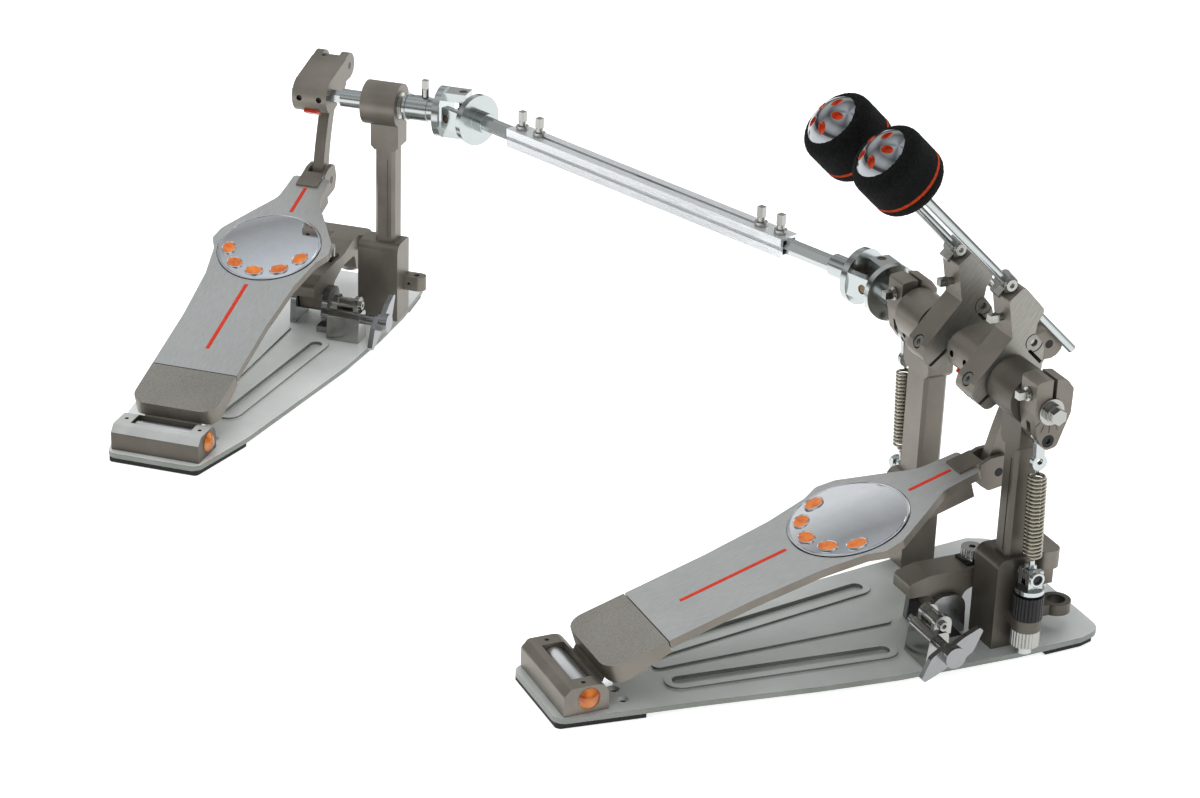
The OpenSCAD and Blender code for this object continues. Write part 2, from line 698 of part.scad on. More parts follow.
module slave_axle() color(bright) slave_side() at_axle() {
    hex_x(-hub_w / 2 - 4, 40, hex_r);
    bar_x(24, second_post_x + head_w / 2 + 4, journal_r);
    difference() {
        union() {
            bar_x(second_post_x + head_w / 2 + 4, second_post_x + head_w / 2 + 6, collar_r + 1.5);
            bar_x(second_post_x + head_w / 2 + 5, second_post_x + head_w / 2 + 24, collar_r);
        }
        for (x = [9.5, 15.5]) translate([second_post_x + head_w / 2 + x, 0, collar_r - 2])
            cylinder(h = 10, r = 1.3);
    }
    bar_x(second_post_x + head_w / 2 + 23, joint_out - yoke_back + over, collar_r - 1);
    translate([joint_out, 0, 0]) yoke(1);
}
module slave_fasteners() color(bright) slave_side() at_axle() {
    key_bolt([second_post_x + head_w / 2 + 20.5, 0, collar_r + seat], 14);
}
// Square-headed key bolt standing up from a seat
module key_bolt(p, h) {
    translate(p) {
        cylinder(h = h - 7, r = 3);
        translate([-2.6, -2.6, h - 7]) cube([5.2, 5.2, 7]);
    }
}

// Driveshaft, +Z along it from the second pedal
rod_left = 180;
channel_from = 63;
rod_right = 240;
wall = 2.8;
bolt_in = 9;
module shaft_channel() color(bright) on_shaft() difference() {
    translate([-channel_d / 2, -channel_w / 2, channel_from]) cube([channel_d, channel_w, channel_len]);
    // Inside, and the slot along its top
    translate([-rod_flat - seat, -rod_flat - 0.9, channel_from - over])
        cube([2 * (rod_flat + seat), 2 * (rod_flat + 0.9), channel_len + 2 * over]);
    translate([-channel_d, -1.6, channel_from + 30]) cube([channel_d, 3.2, channel_len - 60]);
    for (s = [-1, 1]) translate([0, s * channel_w / 2, channel_from - over])
        rotate([0, 0, 45]) translate([-1, -1, 0]) cube([2, 2, channel_len + 2 * over]);
    shaft_bolts(seat);
}
bolt_places = [bolt_in, bolt_in + 20, channel_len - bolt_in - 20, channel_len - bolt_in];
module shaft_bolts(grow) {
    for (z = bolt_places) translate([-rod_flat - seat, 0, channel_from + z])
        rotate([0, -90, 0]) cylinder(h = 30, r = 3 + grow);
}
module shaft_fasteners() color(bright) on_shaft() for (z = bolt_places)
    translate([-rod_flat - seat, 0, channel_from + z]) rotate([0, -90, 0]) {
        cylinder(h = 9, r = 3);
        translate([0, 0, 9]) intersection() {
            translate([-2.7, -2.7, 0]) cube([5.4, 5.4, 8]);
            cylinder(h = 8, r = 3.5);
        }
        translate([0, 0, channel_d / 2 - rod_flat + 0.1]) cylinder(h = 3, r = 5);
    }
module shaft_rods() color(bright) {
    on_shaft() {
        translate([0, 0, yoke_back - over]) rotate([0, 0, 30]) cylinder(h = rod_left, r = rod_r, $fn = 6);
        translate([0, 0, rod_right]) rotate([0, 0, 30])
            cylinder(h = shaft_len - yoke_back + over - rod_right, r = rod_r, $fn = 6);
        translate([0, 0, shaft_len - yoke_back - 24]) cylinder(h = 24 + over, r = 8.5);
        translate([0, 0, yoke_back - over]) cylinder(h = 12, r = 8.5);
    }
    joint_at(joint_slave) rotate([90, 0, 0]) yoke(-1);
    joint_at(joint_main) rotate([90, 0, 0]) yoke(1);
}
module joint_at(p) {
    translate([p[0], p[1] - axle_back, p[2]]) rotate([0, 0, shaft_dir]) children();
}

// Beater holders: a split arm clamps the rod above a split hub on the axle
function holder_plan() = [[-5, 57, 2], [6, 66, 3], [23.5, 47, 4], [18.5, 38, 1], [17.5, 31, 2],
    [24, 23, 3], [25.5, 19, 2], [25, 3, 3], [-15, -21, 6], [-28, -8, 5], [-26, 0, 3],
    [0, 30, 2], [-1, 35, 2]];
module holder(cx, round_hole) color(pewter) at_axle() difference() {
    slab_x(cx - holder_w / 2, cx + holder_w / 2, soft(holder_plan(), 4));
    if (round_hole) bar_x(cx - 30, cx + 30, journal_r + seat);
    else hex_x(cx - 30, cx + 30, hex_r + seat);
    // Rod bore, pocket, screw seat and the two clamping slots
    translate([cx, rod_foot[0], rod_foot[1]]) rotate([45, 0, 0])
        translate([0, 0, -60]) cylinder(h = 120, r = beater_rod_r + seat);
    bar_x(cx - 30, cx + 30, 2.6, split_hole[0], split_hole[1]);
    for (s = [-1, 1]) difference() {
        bar_x(cx + s * holder_w / 2 - 0.7, cx + s * holder_w / 2 + 0.7, 6.8, split_hole[0], split_hole[1]);
        bar_x(cx - 30, cx + 30, 5.9, split_hole[0], split_hole[1]);
    }
    translate([cx - 30, 14, 19]) rotate([-135, 0, 0]) translate([0, -1.2, 0]) cube([60, 2.4, 14]);
    translate([cx - 30, -21.5, -15]) rotate([-50, 0, 0]) translate([0, -1.2, 0]) cube([60, 2.4, 17]);
    // Round recess and hole of the hub's clamp bolt, and the rod's key bolt hole
    hub_bolt(cx) {
        translate([0, 0, -30]) cylinder(h = 60, r = 2.7);
        translate([0, 0, -30]) cylinder(h = 30, r = 5.2);
    }
    key_hole(cx) cylinder(h = 20, r = 2.7);
}
// Ring-marked hole where the rod's clamping slot ends
split_hole = [17.2, 24.2];
module hub_bolt(cx) {
    translate([cx, -21.5, -2.5]) rotate([-125, 0, 0]) children();
}
module key_hole(cx) {
    translate([cx, 3, 41.6]) rotate([90, 0, 0]) children();
}
collar_from = 44.6;
module holder_bolts(cx, side) {
    // Key bolt against the rod, clamp bolt of the hub and the cross screw
    at_axle() {
        bar_x(cx - holder_w / 2 - 2.4, cx + holder_w / 2 - 2, 2.5, split_hole[0], split_hole[1]);
        bar_x(cx - holder_w / 2 - 3, cx - holder_w / 2 - seat, 4.4, split_hole[0], split_hole[1], 6);
        hub_bolt(cx) difference() {
            union() {
                translate([0, 0, -4]) cylinder(h = 4 - seat, r = 4.4);
                translate([0, 0, -1]) cylinder(h = 18, r = 2.65);
            }
            translate([0, 0, -5]) cylinder(h = 3.5, r = 2.3, $fn = 6);
        }
        key_hole(cx) {
            translate([0, 0, 3]) cylinder(h = 12, r = 2.65);
            translate([-2.6, -2.6, 9]) cube([5.2, 5.2, 7]);
        }
    }
    // Stop collar round the shaft with its nut and socket screw
    on_rod(cx) difference() {
        union() {
            translate([0, 0, collar_from]) cylinder(h = 9, r = 6.6);
            translate([0, 0, collar_from + 4.5]) rotate([-90, 0, 0]) translate([0, 0, -11])
                cylinder(h = 8, r = 4.6, $fn = 6);
            translate([0, 0, collar_from + 4.5]) rotate([0, 90, 0]) cylinder(h = 8.5, r = 4);
        }
        cylinder(h = 100, r = beater_rod_r + seat);
        translate([6.5, 0, collar_from + 4.5]) rotate([0, 90, 0]) cylinder(h = 5, r = 2, $fn = 6);
    }
}
module right_holder() main_side() holder(right_holder_x, false);
module left_holder() main_side() holder(left_holder_x, true);

module beater_rod(cx) color(bright) on_rod(cx)
    translate([0, 0, rod_start]) cylinder(h = beater_rod_len, r = beater_rod_r);
module right_beater_rod() main_side() beater_rod(right_holder_x);
module left_beater_rod() main_side() beater_rod(left_holder_x);

// Felt heads with their domes
function felt_side() = concat([[0, 0]], turn([felt_r - 9, 9], 9, -90, 90, 6),
    turn([felt_r - 9, felt_len - 9], 9, 0, 90, 6), [[0, felt_len]]);
module felt(cx) color(black) difference() {
    on_rod(cx) translate([0, 0, felt_at - felt_len / 2])
        rotate_extrude($fn = 72) polygon(felt_side());
    on_rod(cx) cylinder(h = rod_start + beater_rod_len + seat, r = beater_rod_r + seat);
}
dome_h = 9;
dome_ball = (dome_r * dome_r + dome_h * dome_h) / (2 * dome_h);
module dome(cx) on_rod(cx) translate([0, 0, felt_at + felt_len / 2 + seat]) {
    color(bright) difference() {
        rotate_extrude($fn = 72) intersection() {
            translate([0, dome_h - dome_ball]) circle(r = dome_ball, $fn = 96);
            square([dome_r, dome_h]);
        }
        for (k = [0:4]) rotate([0, 0, 72 * k + 90]) translate([9.6, 0, -over]) scale_oval(4.1, 2.7, 20);
    }
}
module scale_oval(a, b, h) {
    linear_extrude(h) polygon([for (t = [0:15:345]) [a * cos(t), b * sin(t)]]);
}
module right_felt() main_side() felt(right_holder_x);
module left_felt() main_side() felt(left_holder_x);
module right_dome() main_side() dome(right_holder_x);
module left_dome() main_side() dome(left_holder_x);

// Rockers: the short arm under each axle that pulls its spring
function rocker_plan() = [[-12, 21, 2], [-4, 22.5, 2], [3, 22, 1], [10.7, 21, 3], [16, 14.3, 3],
    [15.6, -3, 4], [6.8, -26.7, 4], [-1.5, -28.3, 4], [-9, -18, 4], [-12, -1.6, 3]];
rocker_pin_r = 2.5;
swivel_t = 2;
module rocker(cx) color(pewter) at_axle() difference() {
    slab_x(cx - rocker_w / 2, cx + rocker_w / 2, soft(rocker_plan(), 4));
    hex_x(cx - 20, cx + 20, hex_r + seat);
    block(cx - 20, cx + 20, 0, 3, hex_flat, 30);
    // Fork for the swivel, its pin hole and the screw's recess
    block(cx - swivel_t - free, cx + swivel_t + free, -30, 30, -50, -9.5);
    bar_x(cx - 20, cx + 20, rocker_pin_r + seat, 0, -pivot_drop);
    bar_x(cx + rocker_w / 2 - 2, cx + 20, 4.5, 0, -pivot_drop);
    // Index lines fanned under the axle
    for (k = [-2:2]) rotate([24 * k, 0, 0]) block(cx + rocker_w / 2 - 0.5, cx + 20, -0.35, 0.35, -15.5, -10.5);
    translate([cx, 0, 10.5]) rotate([90, 0, 0]) cylinder(h = 30, r = 2.7);
}
module rocker_bolts(cx) {
    // Swivel pin with its head, and the key bolt on the heel side
    at_axle() {
        bar_x(cx - rocker_w / 2, cx + rocker_w / 2 - 2, rocker_pin_r, 0, -pivot_drop);
        difference() {
            bar_x(cx + rocker_w / 2 - 2 + seat, cx + rocker_w / 2 - 0.2, 4.2, 0, -pivot_drop);
            hex_x(cx + rocker_w / 2 - 1.2, cx + 20, 2.2, 0, -pivot_drop);
        }
        translate([cx, -2.5, 10.5]) rotate([90, 0, 0]) {
            cylinder(h = 12, r = 2.6);
            translate([0, 0, 9.6]) cylinder(h = 1.4, r = 4.8);
            translate([-2.6, -2.6, 12]) cube([5.2, 5.2, 6.5]);
        }
    }
}
module right_rocker() main_side() rocker(right_rocker_x);
module left_rocker() main_side() rocker(left_rocker_x);
module right_fasteners() color(bright) main_side() {
    rocker_bolts(right_rocker_x);
    holder_bolts(right_holder_x);
}
module left_fasteners() color(bright) main_side() {
    rocker_bolts(left_rocker_x);
    holder_bolts(left_holder_x);
}

// Springs with their swivels above and eyes below
spring_lean = atan2(bracket_y, axle_h - pivot_drop - lower_pivot_h);
spring_span = norm([bracket_y, axle_h - pivot_drop - lower_pivot_h]);
spring_low = 11.5;
spring_high = 79;
module on_spring(x) {
    main_side() translate([x, bracket_y, lower_pivot_h]) rotate([spring_lean, 0, 0]) children();
}
lead = 2;
rise = 2.2;
per_turn = 8;
coil_r = spring_r - wire_r;
coil_len = spring_high - spring_low - 2 * (lead + rise);
function ease(u) = u * u * (3 - 2 * u);
function coil_point(r, a, z) = [r * cos(a), r * sin(a), z];
function spring_path() = concat(
    [[0, 0, 0], [0, 0, lead / 2], [0, 0, lead]],
    [for (k = [1:5]) coil_point(coil_r * ease(k / 6), -180 + 30 * k, lead + rise * sin(15 * k))],
    [for (k = [0:spring_turns * per_turn]) coil_point(coil_r, 360 * k / per_turn,
        lead + rise + coil_len * k / (spring_turns * per_turn))],
    [for (k = [5:-1:1]) coil_point(coil_r * ease(k / 6), 180 - 30 * k,
        lead + rise + coil_len + rise * (1 - sin(15 * k)))],
    [for (z = [lead, lead / 2, 0]) [0, 0, spring_high - spring_low - z]]);
function tangent(p, i) = unit(p[min(i + 1, len(p) - 1)] - p[max(i - 1, 0)]);
function square_to(v, t) = unit(v - (v * t) * t);
function normals(p) = [for (i = 0, v = [1, 0, 0]; i < len(p);
    i = i + 1, v = square_to(v, tangent(p, min(i, len(p) - 1)))) square_to(v, tangent(p, i))];
sides = 6;
module tube(p, r) {
    v = normals(p);
    ring = [for (i = [0:len(p) - 1]) let (t = tangent(p, i), w = cross(t, v[i]))
        for (k = [0:sides - 1]) p[i] + r * (cos(360 * k / sides) * v[i] + sin(360 * k / sides) * w)];
    last = len(p) - 1;
    walls = [for (i = [0:last - 1]) for (k = [0:sides - 1])
        let (a = i * sides + k, b = i * sides + (k + 1) % sides)
        for (f = [[a, b, b + sides], [a, b + sides, a + sides]]) [f[2], f[1], f[0]]];
    caps = [[for (k = [0:sides - 1]) k],
        [for (k = [sides - 1:-1:0]) last * sides + k]];
    polyhedron(points = ring, faces = concat(walls, caps), convexity = 10);
}
function self_gap(p) = min([for (i = [0:len(p) - 1]) for (j = [i + 5:1:len(p) - 1])
    norm(p[i] - p[j])]) - 2 * wire_r;
echo(spring_least_self_gap = self_gap(spring_path()));
module spring(x) color(nickel) on_spring(x) translate([0, 0, spring_low]) tube(spring_path(), wire_r);
module right_spring() spring(right_rocker_x);
module left_spring() spring(left_rocker_x);

swivel_room = 1.3;
module swivel(x) color(bright) on_spring(x) difference() {
    union() {
        bar_x(-swivel_t, swivel_t, rocker_pin_r + swivel_room + 2.2, 0, spring_span);
        block(-swivel_t, swivel_t, -3.4, 3.4, spring_high + 3, spring_span - 3);
        bar_x(-swivel_t, swivel_t, 5.6, 0, spring_high + 6);
        translate([0, 0, spring_high + seat]) cylinder(h = 4, r = 1.9);
    }
    bar_x(-10, 10, rocker_pin_r + swivel_room, 0, spring_span);
    bar_x(-10, 10, 2.2, 0, spring_high + 7);
}
module right_swivel() swivel(right_rocker_x);
module left_swivel() swivel(left_rocker_x);
module spring_eye(x) color(bright) on_spring(x) difference() {
    union() {
        bar_x(-swivel_t, swivel_t, 5.4);
        cylinder(h = spring_low - seat, r = 1.9);
    }
    bar_x(-10, 10, rocker_pin_r + run);
}
module right_spring_eye() spring_eye(right_rocker_x);
module left_spring_eye() spring_eye(left_rocker_x);

// Tension rods through the posts' arms, with a lock nut above and a thumb nut below
flange_r = 10;
module tension_rod(x) color(bright) main_side() translate([x, bracket_y, 0]) {
    translate([0, 0, base_top + 1]) cylinder(h = 48, r = rod_d / 2);
    translate([0, 0, base_top + 1]) cylinder(h = 5, r = 5.5);
    translate([0, 0, 55]) cylinder(h = 3, r = flange_r);
    difference() {
        block(-6.5, 6.5, -5.5, 5.5, 58, lower_pivot_h + 5);
        block(-swivel_t - free, swivel_t + free, -10, 10, lower_pivot_h - 6.4, 90);
    }
    bar_x(-7.5, 7.5, rocker_pin_r, 0, lower_pivot_h);
}
module tension_rods() {
    tension_rod(right_rocker_x);
    tension_rod(left_rocker_x);
}
knurl_n = 24;
module thumb_nut(z0, z1, r) {
    difference() {
        translate([0, 0, z0]) cylinder(h = z1 - z0, r = r);
        translate([0, 0, z0 - over]) cylinder(h = z1 - z0 + 2 * over, r = rod_d / 2 + seat);
        for (k = [0:knurl_n - 1]) rotate([0, 0, 360 * k / knurl_n]) translate([r, 0, z0 - over])
            rotate([0, 0, 45]) translate([-0.5, -0.5, 0]) cube([1, 1, z1 - z0 + 2 * over]);
    }
}
module tension_nuts() main_side() for (x = [right_rocker_x, left_rocker_x]) translate([x, bracket_y, 0]) {
    color(black) thumb_nut(35.5 + seat, 53, 10.5);
    color(bright) thumb_nut(15, 27 - seat, 10);
}

// Hoop clamps: lever, fulcrum, jaw bolt and wing bolt
lever_x = 1;
lever_y = -32;
lever_z = 24;
fulcrum_r = 3;
jaw_x = lever_x + lever_w / 2;
jaw_y = 46;
jaw_low = base_top + hoop_gap;
jaw_top = 58;
adjust_y = -8;
bar_top = 53;
wing_y = -62;
wing_z = 27;
screw_r = 4;
wing_in = 80;
module lever() color(pewter) difference() {
    union() {
        slab_x(lever_x, lever_x + lever_w, soft([[-62, 38, 2], [-62, 49, 4], [-46, bar_top, 6],
            [4, bar_top, 10], [24, jaw_top, 10], [jaw_y, jaw_top, 0], [jaw_y, jaw_low + 5, 3],
            [32, jaw_low + 5, 3], [28, 43, 5], [2, 43, 12], [-18, 36, 7], [-24, 17, 6], [-40, 17, 6],
            [-43, 36, 4], [-48, 38, 2]], 4));
        // Cross jaw over the hoop
        translate([0, 0, jaw_top - 14]) linear_extrude(14) polygon(soft([[jaw_x - 34, jaw_y - 9, 7],
            [jaw_x + 18, jaw_y - 9, 7], [jaw_x + 18, jaw_y + 9, 7], [jaw_x - 34, jaw_y + 9, 7]], 5));
        block(jaw_x - 16, jaw_x + lever_w / 2, jaw_y - 7, jaw_y + 7, jaw_low + 5, jaw_top - 10);
    }
    bar_x(-10, 60, fulcrum_r + run, lever_y, lever_z);
    translate([jaw_x, jaw_y, 0]) cylinder(h = jaw_top - 4, r = 5 + seat);
    translate([jaw_x, adjust_y, bar_top - 12]) cylinder(h = 30, r = 3 + seat);
}
module main_clamp_lever() main_side() lever();
module slave_clamp_lever() slave_side() lever();
adjust_r = 7.6;
module jaw_bolt() {
    color(bright) translate([jaw_x, jaw_y, 0]) {
        translate([0, 0, jaw_low + 2]) cylinder(h = jaw_top - 6 - jaw_low, r = 5);
        translate([0, 0, jaw_low]) cylinder(h = 4.6, r = 8);
    }
    // Adjusting screw on its square washer
    translate([jaw_x, adjust_y, bar_top + seat]) {
        color(black) difference() {
            translate([-8, -8, 0]) cube([16, 16, 1.8]);
            translate([0, 0, -over]) cylinder(h = 10, r = 3 + seat);
        }
        color(bright) difference() {
            union() {
                translate([0, 0, -11]) cylinder(h = 14, r = 3);
                translate([0, 0, 1.8 + seat]) cylinder(h = 8.5, r = adjust_r);
            }
            translate([0, 0, 7.5]) cylinder(h = 5, r = 2.6, $fn = 6);
            for (k = [0:knurl_n - 1]) rotate([0, 0, 360 * k / knurl_n])
                translate([adjust_r, 0, 4]) rotate([0, 0, 45]) translate([-0.4, -0.4, 0]) cube([0.8, 0.8, 10]);
        }
    }
}
module main_jaw_bolt() main_side() jaw_bolt();
module slave_jaw_bolt() slave_side() jaw_bolt();
ear_t = 5;
yoke_z = 37;
wing_block = [37, 65];
module clamp_base() color(bright) difference() {
    union() {
        // Two domed cheeks with the fulcrum pin
        for (x = [lever_x - ear_t - free, lever_x + lever_w + free]) slab_x(x, x + ear_t, soft([
            [lever_y - 17, base_top, 1], [lever_y + 13, base_top, 1], [lever_y + 12, lever_z + 14, 11],
            [lever_y - 14, lever_z + 14, 11]], 6));
        bar_x(lever_x - ear_t - free, lever_x + lever_w + ear_t + free, fulcrum_r, lever_y, lever_z);
        // Block round the wing bolt
        slab_x(wing_block[0], wing_block[1], soft([[wing_y - 9, base_top, 1], [wing_y + 9, base_top, 1],
            [wing_y + 8, 33, 3], [wing_y - 6, 33, 6]], 4));
        // Fork above it with its roller and pin
        for (x = [wing_block[0] + 3, wing_block[1] - 7]) slab_x(x, x + 4, soft([
            [wing_y - 2, 30, 0], [wing_y + 11, 30, 0], [wing_y + 11.5, yoke_z + 7, 6.4],
            [wing_y - 2.5, yoke_z + 7, 6.4]], 5));
        bar_x(wing_block[0] + 1, wing_block[1] - 1, 3.4, wing_y + 4.5, yoke_z);
        bar_x(wing_block[0] + 6, wing_block[1] - 6, 5, wing_y + 4.5, yoke_z);
        // Foot that joins them
        block(lever_x + lever_w + free, wing_block[0] + 4, wing_y + 3, lever_y + 4, base_top, base_top + 5);
    }
    bar_x(wing_block[0] - 10, wing_block[1] + 10, screw_r + run, wing_y, wing_z);
    for (x = [wing_block[0] - 1, wing_block[1] - 3]) hex_x(x, x + 4, 1.8, wing_y + 4.5, yoke_z);
}
module clamp_bases() both_sides() clamp_base();
module wing_bolt() color(bright) {
    bar_x(lever_x + lever_w + ear_t + 2, wing_in + over, screw_r, wing_y, wing_z);
    bar_x(wing_in, wing_in + 9, 7.6, wing_y, wing_z);
    translate([wing_in + 2, wing_y, wing_z]) rotate([30, 0, 0]) for (s = [0, 1]) rotate([180 * s, 0, 0])
        slab_x(s > 0 ? -4.2 : 0, s > 0 ? 0 : 4.2, soft([[0, -7.4, 0.5], [13, -6.4, 6], [wing_span / 2, 3, 1.4],
            [wing_span / 2 - 1, 6.6, 1.4], [12, 8, 7], [0, 7.4, 0.5]], 4));
}
module main_wing_bolt() main_side() wing_bolt();
module slave_wing_bolt() slave_side() wing_bolt();

main_base();
slave_base();
rubber_pads();
main_heel_block();
slave_heel_block();
hinge_pins();
hinge_caps();
right_post();
left_post();
slave_post();
post_bearings();
clamp_bases();
tension_rods();
tension_nuts();
main_clamp_lever();
main_jaw_bolt();
main_wing_bolt();
slave_clamp_lever();
slave_jaw_bolt();
slave_wing_bolt();
main_board();
main_heel_plate();
main_disc();
main_clevis();
main_link();
main_cam();
main_axle();
right_holder();
right_rocker();
right_fasteners();
right_beater_rod();
right_felt();
right_dome();
left_axle();
left_holder();
left_rocker();
left_fasteners();
left_beater_rod();
left_felt();
left_dome();
main_cross();
slave_cross();
shaft_channel();
shaft_rods();
shaft_fasteners();
slave_board();
slave_heel_plate();
slave_disc();
slave_clevis();
slave_link();
slave_cam();
slave_axle();
slave_fasteners();
right_spring();
left_spring();
right_swivel();
left_swivel();
right_spring_eye();
left_spring_eye();
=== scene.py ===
import json
import math

import bmesh
import bpy
from mathutils import Matrix, Vector


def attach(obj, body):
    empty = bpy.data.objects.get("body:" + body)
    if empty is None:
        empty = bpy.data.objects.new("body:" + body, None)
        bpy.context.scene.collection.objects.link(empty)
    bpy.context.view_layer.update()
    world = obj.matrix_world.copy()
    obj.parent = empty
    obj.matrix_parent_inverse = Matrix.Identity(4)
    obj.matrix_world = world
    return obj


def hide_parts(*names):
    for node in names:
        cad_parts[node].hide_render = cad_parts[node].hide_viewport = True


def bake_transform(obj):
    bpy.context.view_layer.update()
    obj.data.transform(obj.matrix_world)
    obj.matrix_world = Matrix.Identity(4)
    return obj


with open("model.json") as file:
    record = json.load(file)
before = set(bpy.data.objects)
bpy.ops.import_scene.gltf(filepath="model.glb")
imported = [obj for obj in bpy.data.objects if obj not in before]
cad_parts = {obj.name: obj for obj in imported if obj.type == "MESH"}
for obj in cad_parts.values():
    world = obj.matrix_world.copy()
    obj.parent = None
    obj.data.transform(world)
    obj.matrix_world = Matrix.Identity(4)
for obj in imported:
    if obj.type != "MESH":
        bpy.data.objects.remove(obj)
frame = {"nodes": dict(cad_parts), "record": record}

bl_info = {
    "name": "Double bass drum pedal",
    "version": (1, 0, 0),
    "blender": (4, 5, 0),
    "location": "View3D > Sidebar > Pedal",
    "description": "Dresses the packed double pedal and sets the stage for its picture",
    "category": "Object",
}

NODES = frame["nodes"]
BODY_OF = {n: b for b, ns in frame["record"]["behaviour"]["bodies"].items() for n in ns}
MM = 0.001

# The layout repeats the source's sizes, in millimetres and degrees
AXLE_H = 193.0
AXLE_BACK = 44.0
SECOND = (-667.3, -243.6, 48.43)
HINGE = (-304.2, 18.5)
BOARD_TILT = 17.1
BOARD_OVER = 13.6
PIVOT_DROP = 21.6
ROD_FOOT = 32.2
ROD_LEAN = 45
SHAFT_TURN = 18.91
RIGHT_BEATER_X = 14.0
LEFT_BEATER_X = -52.0
RIGHT_SPRING_X = 68.5
LEFT_SPRING_X = -109.5

# Places and radii at which the finish of a casting changes
CAM_PIN = (38.98, AXLE_H + 13.96)
CAM_PIN_R = 3.15
CAM_HUB_R = 14.65
BUMPER_DROP = 10
BUMPER_HALF = 12.5
SET_SCREW_R = 12.4
SET_SCREW_DROP = 3
SET_SCREW_BACK = 5.5
CLEVIS_PIN = (9.0, 116.0)
CLEVIS_PIN_R = 3.3
SWIVEL_PIN_R = 5.2
LOCK_NUT_LOW = 31
JAW_FRONT = 10
WASHER = (53.0, 54.88)
CLAMP_REACH = 80
WING_BLOCK_X = 36.5
BARREL_R = 6.9
BARREL_HALF = 24

# Chrome disc: its middle on the board, plate, crown, and the red lines' bare patch round it
DISC_AT = 213.5
DISC_R = 41.9
DISC_THICK = 2.2
DISC_Z = -0.4
CROWN_R = 40.15
CROWN_H = 1.8
CROWN_STEP = 3.0
BARE_HALF = (44, 43.2)
# Its oval inserts: how many, ring and height on the disc, radius, thickness and middle of one,
# radius of its orange part, width against length, first one's angle and the step in degrees
PADS = 5
PAD_RING = 32.4
PAD_UP = 1.35
PAD_R = 7.8
PAD_THICK = 1.6
PAD_Z = 0.4
PAD_ORANGE_R = 6.79
PAD_WIDTH = 0.75
PAD_FIRST = 198
PAD_STEP = 36

# Sleeve on the heel barrel: radius, half length and wall
SLEEVE_R = 7.6
SLEEVE_HALF = 23.2
SLEEVE_WALL = 1.2

# Beater heads: middle and top along the rod, rounded ends, stripe from the lower end, fuzz
HEAD_AT = 174
HEAD_TOP = 20
FELT_ROUND = 9.3
STRIPE = (11.0, 13.2)
FUZZ_GRAIN = 1.6
FUZZ_DEPTH = 0.6
# Domes: height, how far they sink into the felt, and the pockets' half axes and ring
DOME_H = 8.6
DOME_SINK = 1.2
OVAL = (4.0, 2.9)
OVAL_RING = 10.6
OVALS = 5

# Springs: foot on the fork (y, z), ends along the spring, outer radius, flat and rising ends
SPRING_FOOT = (4.0, 67.0)
SPRING_ENDS = (11.5, 79.0)
SPRING_OUTER = 6.7
SPRING_LEAD = 2.0
SPRING_RISE = 2.2
SPRING_PER_TURN = 24
# The fork's half width, and its screws' cheek and socket
FORK_HALF = 6.5
CHEEK_R = 5.4
SOCKET_R = 3.68

# The photograph's camera: azimuth, height and roll in degrees, target and distance in
# millimetres, focal length and picture width in pixels
CAMERA_TURN = (65.02, 24.79, 1.99)
CAMERA_TARGET = (-160.06, -212.83 - AXLE_BACK, 132.51)
CAMERA_AWAY = 2124.13
CAMERA_FOCUS = 3050.71
PHOTO_WIDTH = 1200
SENSOR = 36

# Grey flags round the studio, as shares of a full turn
FLAGS = (0.12, 0.38, 0.62, 0.88)
# Tones that metal sees at each height of the studio's walls
WALLS = ((0.05, 0.9), (0.09, 0.16), (0.2, 0.1), (0.3, 0.62), (0.42, 0.86), (0.54, 0.8),
         (0.7, 0.34))

MAIN = Matrix.Translation((0, -AXLE_BACK * MM, 0))
SLAVE = (Matrix.Translation((SECOND[0] * MM, (SECOND[1] - AXLE_BACK) * MM, 0))
         @ Matrix.Rotation(math.radians(SECOND[2]), 4, "Z"))
ON_BOARD = (Matrix.Translation((0, HINGE[0] * MM, (HINGE[1] + BOARD_OVER) * MM))
            @ Matrix.Rotation(math.radians(BOARD_TILT), 4, "X"))


def on_rod(x):
    """Frame of a beater rod, +Z along it towards the head."""
    foot = Matrix.Translation((x * MM, ROD_FOOT * MM, (AXLE_H + ROD_FOOT) * MM))
    return MAIN @ foot @ Matrix.Rotation(math.radians(ROD_LEAN), 4, "X")


# Colour and material helpers

def colour(code):
    """Linear RGBA of an sRGB hex code."""
    parts = [int(code[i:i + 2], 16) / 255 for i in (1, 3, 5)]
    linear = (c / 12.92 if c <= 0.04045 else ((c + 0.055) / 1.055) ** 2.4 for c in parts)
    return tuple(linear) + (1.0,)


def add(material, kind, settings=None, links=None):
    """Adds a node, sets its fields and inputs, and links inputs to other nodes' outputs."""
    tree = material.node_tree
    made = tree.nodes.new(kind)
    for key, value in (settings or {}).items():
        if isinstance(key, str) and hasattr(made, key) and key not in made.inputs:
            setattr(made, key, value)
        else:
            made.inputs[key].default_value = value
    for key, (source, output) in (links or {}).items():
        tree.links.new(source.outputs[output], made.inputs[key])
    return made


def blank(name):
    """A new material with its output, its Principled BSDF and its object coordinates."""
    material = bpy.data.materials.new(name)
    material.use_nodes = True
    material.node_tree.nodes.clear()
    shader = add(material, "ShaderNodeBsdfPrincipled")
    output = add(material, "ShaderNodeOutputMaterial")
    material.node_tree.links.new(shader.outputs[0], output.inputs[0])
    return material, shader, (add(material, "ShaderNodeTexCoord"), "Object")


def wire(material, source, shader, socket):
    """Links source, a node and its output's name, to the shader's socket."""
    node, output = source
    material.node_tree.links.new(node.outputs[output], shader.inputs[socket])


def fill(shader, settings):
    """Sets the shader's inputs by name."""
    for key, value in settings.items():
        shader.inputs[key].default_value = value


